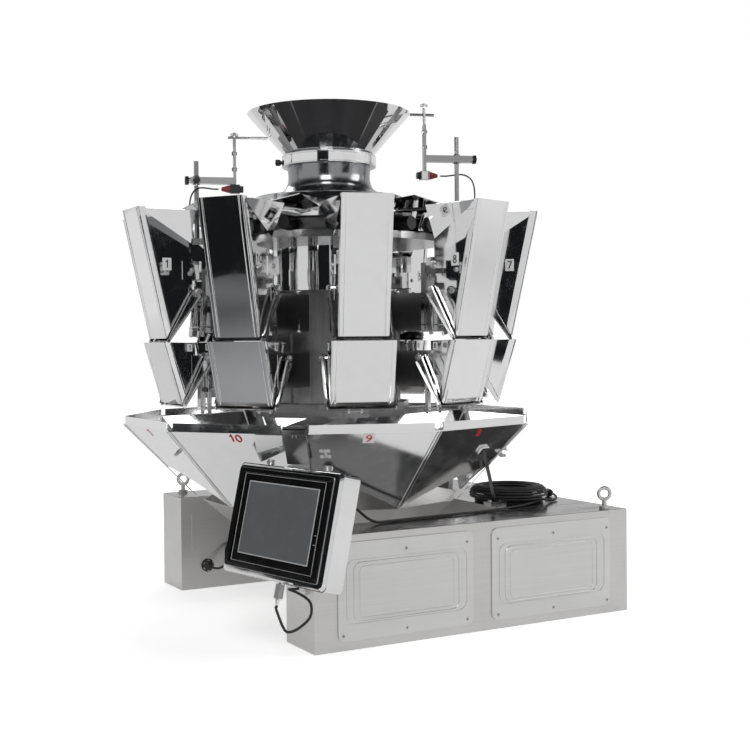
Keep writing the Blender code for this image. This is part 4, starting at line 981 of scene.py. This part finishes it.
def gland_shell(start, direction, radius=0.0065, length=0.02, cable=0.003):
    """A cable gland: a flange, a six-sided nut and a ribbed taper that ends at the cable."""
    start, direction = np.array(start, float), np.array(direction, float)
    place, _ = along(start, start + direction)
    flange = lathe([(radius * 1.9, 0), (radius * 1.9, length * 0.1), (radius * 1.5, length * 0.14)], 20)
    nut = lathe(
        [(radius * 1.6, length * 0.1), (radius * 1.6, length * 0.38), (radius * 1.3, length * 0.44)], 6
    )
    steps = np.linspace(0.42, 1.0, 9)
    ribs = radius * 0.08 * np.cos(np.arange(9) * np.pi)
    widths = radius * 1.25 + (cable * 1.15 - radius * 1.25) * (steps - 0.42) / 0.58 + ribs
    taper = lathe(np.column_stack([widths, steps * length]), 16)
    return placed(merged([flange, nut, taper]), place)


def display_route():
    """From the plug down in a loop and up to the gland on the end of the front arm."""
    plug_end = -DISPLAY_HALF - PLUG_LENGTH - BOOT_LENGTH - SEATED
    starts = [at(DISPLAY, PLUG_ACROSS, plug_end - run, PLUG_BACK) for run in DISPLAY_RUNS]
    end = ARM_CORNER + (-ARM_GLAND_OUT - SEATED, *ARM_GLAND)
    ends = [end - (run, 0, 0) for run in reversed(DISPLAY_RUNS)]
    return smooth_route([*starts, *(ARM_CORNER + np.array(DISPLAY_LOOP)), *ends], 38)


def coil_route():
    """Turns wound on a ring: each one moves on round the ring's section, so that it lies beside the last.

    With a the angle round the ring and b the angle round its section, which runs from low outside under
    the ring and over its top to the outside, the distance from the middle is R + q cos b and the height
    is q (1 + sin b)."""
    a = np.linspace(0, 2 * np.pi * TURNS, TURN_POINTS * TURNS + 1) + COIL_START
    b = np.linspace(COIL_SECTION_START, COIL_SECTION_END, len(a))
    spread = COIL_RADIUS + COIL_TUBE * np.cos(b)
    height = BASE_TOP + LEAD_RADIUS + SEATED + COIL_TUBE * (1 + np.sin(b))
    return np.column_stack([COIL_CENTRE[0] + spread * np.cos(a), COIL_CENTRE[1] + spread * np.sin(a), height])


def power_route():
    """From its gland behind the display, over the base into the coil, and out of it to the plug beside it."""
    turns = coil_route()
    way_in = smooth_route([*LEAD_IN, *turns[:2]], 38)
    way_out = smooth_route([*turns[-2:], *LEAD_OUT], 24)
    return np.concatenate([way_in[:-2], turns, way_out[4:]])


def plug_shells(start, direction):
    """A round moulded plug: a ribbed relief, a waisted body, a flat collar and two pins."""
    start, direction = np.array(start, float), np.array(direction, float)
    place, _ = along(start, start + direction)
    steps = np.linspace(0, 1, 13)
    relief = LEAD_RADIUS * 1.15 + POWER_PLUG_FLARE * steps + POWER_PLUG_RIB * np.cos(np.arange(13) * np.pi)
    shells = [lathe(np.column_stack([relief, steps * POWER_PLUG_RELIEF]), 16), lathe(POWER_PLUG_BODY, 24)]
    pins = [
        placed(lathe(POWER_PIN, 12), shift(side * POWER_PIN_SIDE, 0, POWER_PIN_START)) for side in (-1, 1)
    ]
    return [placed(merged(shells), place)], [placed(merged(pins), place)]


def make_cords():
    display_cable = declared("display_cable_round", display_route(), DISPLAY_CABLE_RADIUS)
    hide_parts("display_cable")
    path = power_route()
    body, pins = plug_shells(path[-1], path[-1] - path[-2])
    plug = piece("power_plug", body, rubber)
    contacts = piece("power_plug_pins", pins, zinc)
    lead = declared("power_lead", path, LEAD_RADIUS)
    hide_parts("cable_coil")
    left = [polar(r, LEFT_ANGLE, z, side) for r, side, z in LEFT_CABLE]
    right = [polar(r, RIGHT_ANGLE, z, side) for r, side, z in RIGHT_CABLE]
    declared("sensor_cable_left", smooth_route(left, 26), SENSOR_CABLE_RADIUS)
    declared("sensor_cable_right", smooth_route(right, 28), SENSOR_CABLE_RADIUS)
    declared("rear_cable", smooth_route(REAR_CABLE, 38), REAR_CABLE_RADIUS)
    piece("cable_glands", [
        gland_shell(POWER_GLAND, (0, 0, 1), length=0.0235, cable=LEAD_RADIUS),
        gland_shell(REAR_GLAND, (0, -1, 0), 0.0095, 0.024),
        gland_shell(FRONT_GLAND, (-1, 0, 0), length=0.0178),
    ], black_plastic)
    ties = [rod((x, TIE_Y, z - TIE_HALF), (x, TIE_Y, z + TIE_HALF), TIE_RADIUS, 8) for x, z in TIES]
    piece("cable_saddles", ties, black_plastic)


make_cords()


# Hoppers and gates

def panel_radius(kind, z):
    """The front panel leans outwards in a straight line from its tip to its top."""
    (r0, z0), (r1, z1) = TIPS[kind], TOPS[kind]
    return r0 + (r1 - r0) * (np.asarray(z) - z0) / (z1 - z0)


def fold(kind, side):
    """A panel's folded edge: its corner, a groove beside it, and a return that ends above the gate's line."""
    half, hinge, tip = HALVES[kind], HINGES[kind], TIPS[kind]
    low_z, high_z = tip[1] + FOLD_LOW_GAP, TOPS[kind][1] - FOLD_HIGH_GAP
    slope = (hinge[1] - tip[1]) / (tip[0] - hinge[0])
    a = np.linspace(0, np.pi / 2, 5)
    grids = []
    for out, radius, dip in FOLD_FACES:
        depth = np.concatenate(
            [[-FOLD_RETURN], out - radius + radius * np.sin(a), [out, out - dip, out, out]]
        )
        corner = half + out - radius + radius * np.cos(a)
        across = np.concatenate([[half + out], corner, half - np.array(FOLD_GROOVE)])
        z = np.stack([low_z + slope * np.clip(-depth, 0, None), np.full_like(depth, high_z)])
        grid = np.stack([panel_radius(kind, z) + depth, np.broadcast_to(side * across, z.shape), z], axis=-1)
        grids.append(grid if side > 0 else grid[:, ::-1])
    return plate(*grids)


def make_hopper_details():
    for kind in ("feed", "weigh"):
        shells = [fold(kind, side) for side in (-1, 1)]
        piece(f"{kind}_panel_folds", ring(shells), hopper_sheet)
    plates, strokes, bolts = [], [], []
    thickness = NUMBER_PLATE[0]
    for angle in HEAD_ANGLES:
        for side in (-1, 1):
            for kind, (r, z, size) in NUMBER_PLATES.items():
                wall = side * (HALVES[kind] + NUMBER_PLATE_GAP)
                place = turn(angle) @ facing((r, wall, z), (0, side, 0))
                plates.append(placed(slab(size, size * PLATE_TALL_SHARE, *NUMBER_PLATE), place))
                strokes += number(head_number(angle), size * NUMBER_SHARE, place @ shift(0, 0, thickness))
            for r, z, radius, height in BRACKET_BOLTS:
                head = hex_bolt(facing((r, side * BRACKET_SIDE, z), (0, side, 0)), radius, height)
                bolts.append(placed(head, turn(angle)))
    piece("number_plates", plates, label_white)
    piece("number_strokes", strokes, black_plastic)
    piece("bracket_bolts", bolts, zinc)


def gate_strips(kind):
    """The flanges that stiffen a gate's ears: two thin strips along each ear's edges, standing outwards."""
    hinge, tip = np.array(HINGES[kind]), np.array(TIPS[kind])
    length = float(np.linalg.norm(tip - hinge))
    way = (tip - hinge) / length
    below = np.array([way[1], -way[0]])
    shells = []
    for side in (-1, 1):
        middle = side * (EARS[kind] + FLANGE_GAP + FLANGE_WIDTH / 2)
        for (x0, y0), (x1, y1) in FLANGE_LINES:
            start, end = hinge + way * x0 + below * y0, hinge + way * (length + x1) + below * y1
            line = (start[0], middle, start[1]), (end[0], middle, end[1])
            shells.append(bar(*line, FLANGE_WIDTH, FLANGE_THICKNESS, (0, 1, 0)))
    return shells


def make_gate_details():
    pivots = []
    for kind in ("feed", "weigh"):
        strips = merged(gate_strips(kind))
        for index, angle in enumerate(HEAD_ANGLES):
            body = f"{kind}_gate_{index + 1:02d}"
            piece(f"{body}_flanges", [placed(strips, turn(angle))], flange_sheet, body)
        r, z = HINGES[kind]
        for side in (-1, 1):
            pivots.append(
                hex_bolt(facing((r, side * (EARS[kind] + PIVOT_GAP), z), (0, side, 0)), *PIVOT_HEAD)
            )
    piece("gate_pivot_heads", ring(pivots), zinc)


make_hopper_details()
make_gate_details()


# Drives and drum

def make_drives():
    """Between each drive box and its hoppers: two plates, a roller, pins and a link to the gate."""
    plates, bright, dark = [], [], []
    for drive in DRIVES:
        flat = slab(*drive["plate"], DRIVE_PLATE_THICKNESS, drive["plate_corner"], DRIVE_PLATE_BEVEL)
        plates += [placed(flat, shift(drive["plate_radius"], 0, z)) for z in drive["plate_heights"]]
        for side in (-1, 1):
            r, out = drive["pin"]
            foot, top = ((r, side * out, z) for z in drive["pin_heights"])
            bright.append(rod(foot, top, drive["pin_radius"], 12, bevel=DRIVE_PIN_BEVEL))
            top, foot = (
                (r, side * drive["link_side"], z) for r, z in (drive["link_top"], drive["link_foot"])
            )
            bright.append(bar(top, foot, drive["link_width"], DRIVE_LINK_THICKNESS, (1, 0, 0)))
            r, out, z = drive["bolt"]
            dark.append(hex_bolt(facing((r, side * out, z), (0, side, 0)), *drive["bolt_size"]))
        r, z = drive["roller"]
        ends = [(r, side * drive["roller_half"], z) for side in (-1, 1)]
        dark.append(rod(*ends, drive["roller_radius"], drive["roller_sides"], bevel=ROLLER_BEVEL))
        bright.append(rod(drive["rod_top"], drive["rod_foot"], PUSH_ROD_RADIUS))
        bright += [ball(end, PUSH_BALL_RADIUS) for end in (drive["rod_top"], drive["rod_foot"])]
    r, out = CASE_SCREW_PLACE
    for z in CASE_SCREW_HEIGHTS:
        dark += [cap_screw(facing((r, side * out, z), (1, 0, 0)), *CASE_SCREW) for side in (1, -1)]
    piece("drive_plates", ring(plates), cover_steel)
    piece("drive_links", ring(bright), polished_bar)
    piece("drive_rollers", ring(dark), black_plastic)


def make_drum():
    piece("drum_sleeve", [hoop(SLEEVE_OUTLINE)], funnel_sheet)
    piece("drum_covers", [hoop(LIP_OUTLINE), hoop(DISC_OUTLINE)], dark_steel)


def make_vibrators():
    """Under each pan: two coils, whose ribs are |sin| of their length, leaf springs and a short lead."""
    coils, springs = [], []
    z = np.linspace(0, 1, 2 * WINDING_RIBS + 1)
    ribs = WINDING_RADIUS + WINDING_RIB * np.abs(np.sin(z * np.pi * WINDING_RIBS))
    winding = lathe(np.column_stack([ribs, WINDING_LENGTH * z]), 16)
    r, out, height = WINDING_PLACE
    for side in (-1, 1):
        lying = basis((r, side * out, height), (0, 1, 0), (0, 0, 1))
        coils.append(placed(winding, lying @ shift(0, 0, WINDING_START)))
        for radius in SPRING_RADII:
            foot, top = ((radius + x, side * SPRING_SIDE, z) for x, z in (SPRING_FOOT, SPRING_TOP))
            springs.append(bar(foot, top, SPRING_WIDTH, SPRING_THICKNESS, (0, 1, 0)))
    loop = sweep(smooth_route(VIBRATOR_LEAD, 14), circle(VIBRATOR_LEAD_RADIUS))
    piece("vibrator_coils", ring(coils), black_plastic)
    piece("leaf_springs", ring(springs), polished_bar)
    piece("vibrator_leads", ring([loop]), rubber)


make_drives()
make_drum()
make_vibrators()


# Chute

def on_chute(angle, side, z, out=0.0002):
    """A place on one of the chute's flat plates, its second direction up the slope."""
    r = CHUTE_EDGE[0] + (z - CHUTE_EDGE[1]) * CHUTE_RUN / CHUTE_RISE
    place = facing((r, side, z), (CHUTE_RISE, 0, -CHUTE_RUN), (CHUTE_RUN, 0, CHUTE_RISE))
    return turn(angle) @ place @ shift(0, 0, out)


def make_chute_marks():
    """The number of each head, printed red on its plate with a lean of its own, and two blank labels."""
    strokes = []
    for angle in HEAD_ANGLES:
        side, lean = CHUTE_NUMBERS.get(angle, PLAIN_CHUTE_NUMBER)
        right, up = (math.cos(lean), math.sin(lean), 0), (-math.sin(lean), math.cos(lean), 0)
        place = on_chute(angle, side, CHUTE_NUMBER_Z) @ basis((0, 0, CHUTE_NUMBER_OUT), right, up)
        strokes += number(head_number(angle), CHUTE_NUMBER_SIZE, place)
    piece("chute_numbers", strokes, label_red)
    label = placed(slab(*CHUTE_LABEL), on_chute(*CHUTE_LABEL_PLACE))
    piece("chute_label", [label], label_white)
    tag = placed(prism(CHUTE_TAG, CHUTE_TAG_THICKNESS), turn(CHUTE_TAG_ANGLE))
    piece("chute_tag", [tag], label_white)


def make_chute_details():
    nuts = []
    for place in CHUTE_NUTS:
        nuts += wing_nut(on_chute(*place), CHUTE_NUT_SIZE)
    piece("chute_wing_nuts", nuts, zinc)
    half, thickness = LEG_COVER_HALF, LEG_COVER_THICKNESS
    channel = [(-half, 0), (-half, thickness), (half, thickness), (half, 0)]
    covers = ring([sweep(LEG_LINE, channel, up=(1, 0, 0))], LEG_ANGLES)
    piece("leg_covers", covers, dark_mirror)
    seams = [
        rod(SEAM_LOW + (SEAM_LOW_OUT, side, 0), SEAM_HIGH + (SEAM_HIGH_OUT, side, 0), SEAM_RADIUS, 8)
        for side in (-SEAM_SIDE, SEAM_SIDE)
    ]
    piece("chute_edge_seams", ring(seams, SEAM_ANGLES), chute_sheet)


def make_latch():
    """The strap that holds the chute: a plate on the chute, a slanted bar and a block on the base."""
    top = at(on_chute(LATCH_ANGLE, LATCH_SIDE, LATCH_TOP_Z), 0, 0, LATCH_OUT)
    foot = LATCH_FOOT + (0, 0, LATCH_STRAP_RISE)
    strap = bar(top, foot, *LATCH_STRAP, np.cross(foot - top, LATCH_LEAN))
    catch = [
        placed(slab(*LATCH_PLATE), on_chute(LATCH_ANGLE, LATCH_SIDE, LATCH_PLATE_Z)),
        placed(slab(*LATCH_BLOCK), shift(*(LATCH_FOOT + (0, 0, LATCH_BLOCK_RISE)))),
    ]
    bolts = [
        hex_bolt(shift(*(LATCH_FOOT + (side * LATCH_BOLT_SIDE, 0, LATCH_BOLT_RISE))), *LATCH_BOLT)
        for side in (-1, 1)
    ]
    piece("latch_strap", [strap], dark_steel)
    piece("latch_catch", catch, polished_bar)
    piece("latch_bolts", bolts, zinc)


make_chute_marks()
make_chute_details()
make_latch()


# Display

def on_face(shell, place):
    """A shell on the display's face, which looks along the display's third direction."""
    return [placed(shell, DISPLAY @ shift(*place))]


def make_display():
    piece("screen_bezel", on_face(frame_band(*BEZEL), BEZEL_PLACE), screen_glass)
    piece("bezel_edge", on_face(frame_band(*BEZEL_EDGE), BEZEL_PLACE), zinc)
    piece("screen_lines", on_face(frame_band(*SCREEN_LINE), SCREEN_LINE_PLACE), screen_line)
    piece("screen_panel", on_face(slab(*PANEL), PANEL_PLACE), screen_grey)
    piece("screen_panel_edge", on_face(frame_band(*PANEL_EDGE), PANEL_PLACE), screen_line)
    marks = [on_face(slab(*MARK), (MARK_ACROSS, up, MARK_OUT))[0] for up in MARK_HEIGHTS]
    piece("screen_marks", marks, screen_line)
    nuts = []
    for across in DISPLAY_NUTS_ACROSS:
        top = at(DISPLAY, across, DISPLAY_HALF + SEATED, DISPLAY_NUT_BACK)
        nuts += wing_nut(facing(top, DISPLAY[:3, 1], DISPLAY[:3, 2]), DISPLAY_NUT_SIZE)
    piece("display_wing_nuts", nuts, zinc)
    z = np.linspace(0, 1, 2 * KNURL_RIBS + 1)
    ribs = KNURL_RADIUS + KNURL_DEPTH * np.cos(z * np.pi * 2 * KNURL_RIBS)
    knurl = lathe(np.column_stack([ribs, KNURL_LENGTH * z]), 28)
    start = at(DISPLAY, PLUG_ACROSS, -DISPLAY_HALF - PLUG_DROP, PLUG_BACK)
    down, _ = along(start, start - DISPLAY[:3, 1])
    piece("display_connector", [placed(knurl, down)], zinc)


make_display()


# Supports, skirt and base

def support_fittings(support):
    """One sensor support's knobs, its clips, bolts and wing nut, and its sensor's boot, at angle zero."""
    arm, slide = support["arm"], support["slide"]
    middle = slide + SLIDE_MIDDLE
    knobs = [
        lobed((support["end"] - 0.0005, 0, arm), (1, 0, 0), *END_KNOB),
        lobed((POST_RADIUS, SIDE_KNOB_OUT, arm), (0, 1, 0), *SIDE_KNOB),
    ]
    bright = []
    for rise in CLIP_RISES:
        loop = np.column_stack([circle(CLIP_RADIUS, 24) + (POST_RADIUS, 0), np.full(24, arm + rise)])
        bright.append(sweep(loop, circle(CLIP_WIRE), closed=True))
    for rise in SLIDE_BOLT_RISES:
        bright.append(hex_bolt(facing((slide + SLIDE_FRONT, 0, arm + rise), (1, 0, 0)), *FRONT_BOLT))
        bright.append(hex_bolt(facing((slide + SLIDE_BACK, 0, arm + rise), (-1, 0, 0)), *BACK_BOLT))
    bright += wing_nut(shift(middle, 0, support["mast_top"] - MAST_NUT_DROP), MAST_NUT_SIZE)
    height = arm - support["slide_below"] - SEATED - SENSOR_HALF
    if support["sleeved"]:
        bright.append(placed(slab(*SENSOR_SLEEVE), shift(middle, 0, height - SLEEVE_DROP)))
    outwards = basis((middle + BOOT_START, 0, height), (0, 1, 0), (0, 0, 1))
    return knobs, bright, [placed(lathe(BOOT_OUTLINE, 20), outwards)]


def make_support_details():
    knobs, bright, boots = [], [], []
    for support in SUPPORTS:
        for kept, shells in zip((knobs, bright, boots), support_fittings(support)):
            kept += ring(shells, (support["angle"],))
    piece("hand_knobs", knobs, black_plastic)
    piece("support_clamps", bright, polished_bar)
    piece("sensor_boots", boots, red_plastic)


def make_skirt():
    """The skirt flares in a bell, and the clamp with its two bands and knob holds the funnel on it."""
    bell = piece("feeder_bell", [hoop(BELL_OUTER + BELL_INNER)], skirt_steel, smooth=50)
    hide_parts("feeder_skirt")
    piece("clamp_sleeve", [hoop(CLAMP_OUTLINE)], band_steel)
    bands = [placed(hoop(BAND_OUTLINE, 72), shift(0, 0, z)) for z in BAND_HEIGHTS]
    piece("clamp_bands", bands, polished_bar)
    r, z = CLAMP_KNOB_PLACE
    knob = lobed(polar(r, CLAMP_KNOB_ANGLE, z), polar(1, CLAMP_KNOB_ANGLE, 0), *CLAMP_KNOB)
    piece("clamp_knob", [knob], black_plastic)


def make_base_details():
    screws, sockets, beads = [], [], []
    for way in (-1, 1):
        for x in COVER_SCREW_X:
            for z in COVER_SCREW_Z:
                head, socket = (
                    facing((x, way * (COVER_FACE + out), z), (0, way, 0))
                    for out in (COVER_SCREW_SINK, COVER_SOCKET_OUT)
                )
                screws.append(cap_screw(head, *COVER_SCREW))
                sockets.append(cap_screw(socket, *COVER_SOCKET))
        for x in BEAD_X:
            face = facing((x, way * BEAD_FACE, BEAD_Z), (0, way, 0))
            beads += [placed(frame_band(*bead), face) for bead in BEADS]
    piece("cover_screws", screws, zinc)
    piece("cover_screw_sockets", sockets, black_plastic)
    piece("cover_beads", beads, cover_steel)
    # Thin dark sheets laid on the arms and the box top: painted shade
    rise = BASE_TOP + 0.0001
    tops = [
        placed(slab(*ARM_TOP, *TOP_SHEET), shift(ARM_TOP_X, side * ARM_TOP_SIDE, rise)) for side in (-1, 1)
    ]
    tops.append(placed(slab(*BOX_TOP, *TOP_SHEET), shift(BOX_TOP_X, 0, rise)))
    piece("base_top_shade_sheets", tops, arm_top_painted_shade)


make_support_details()
make_skirt()
make_base_details()
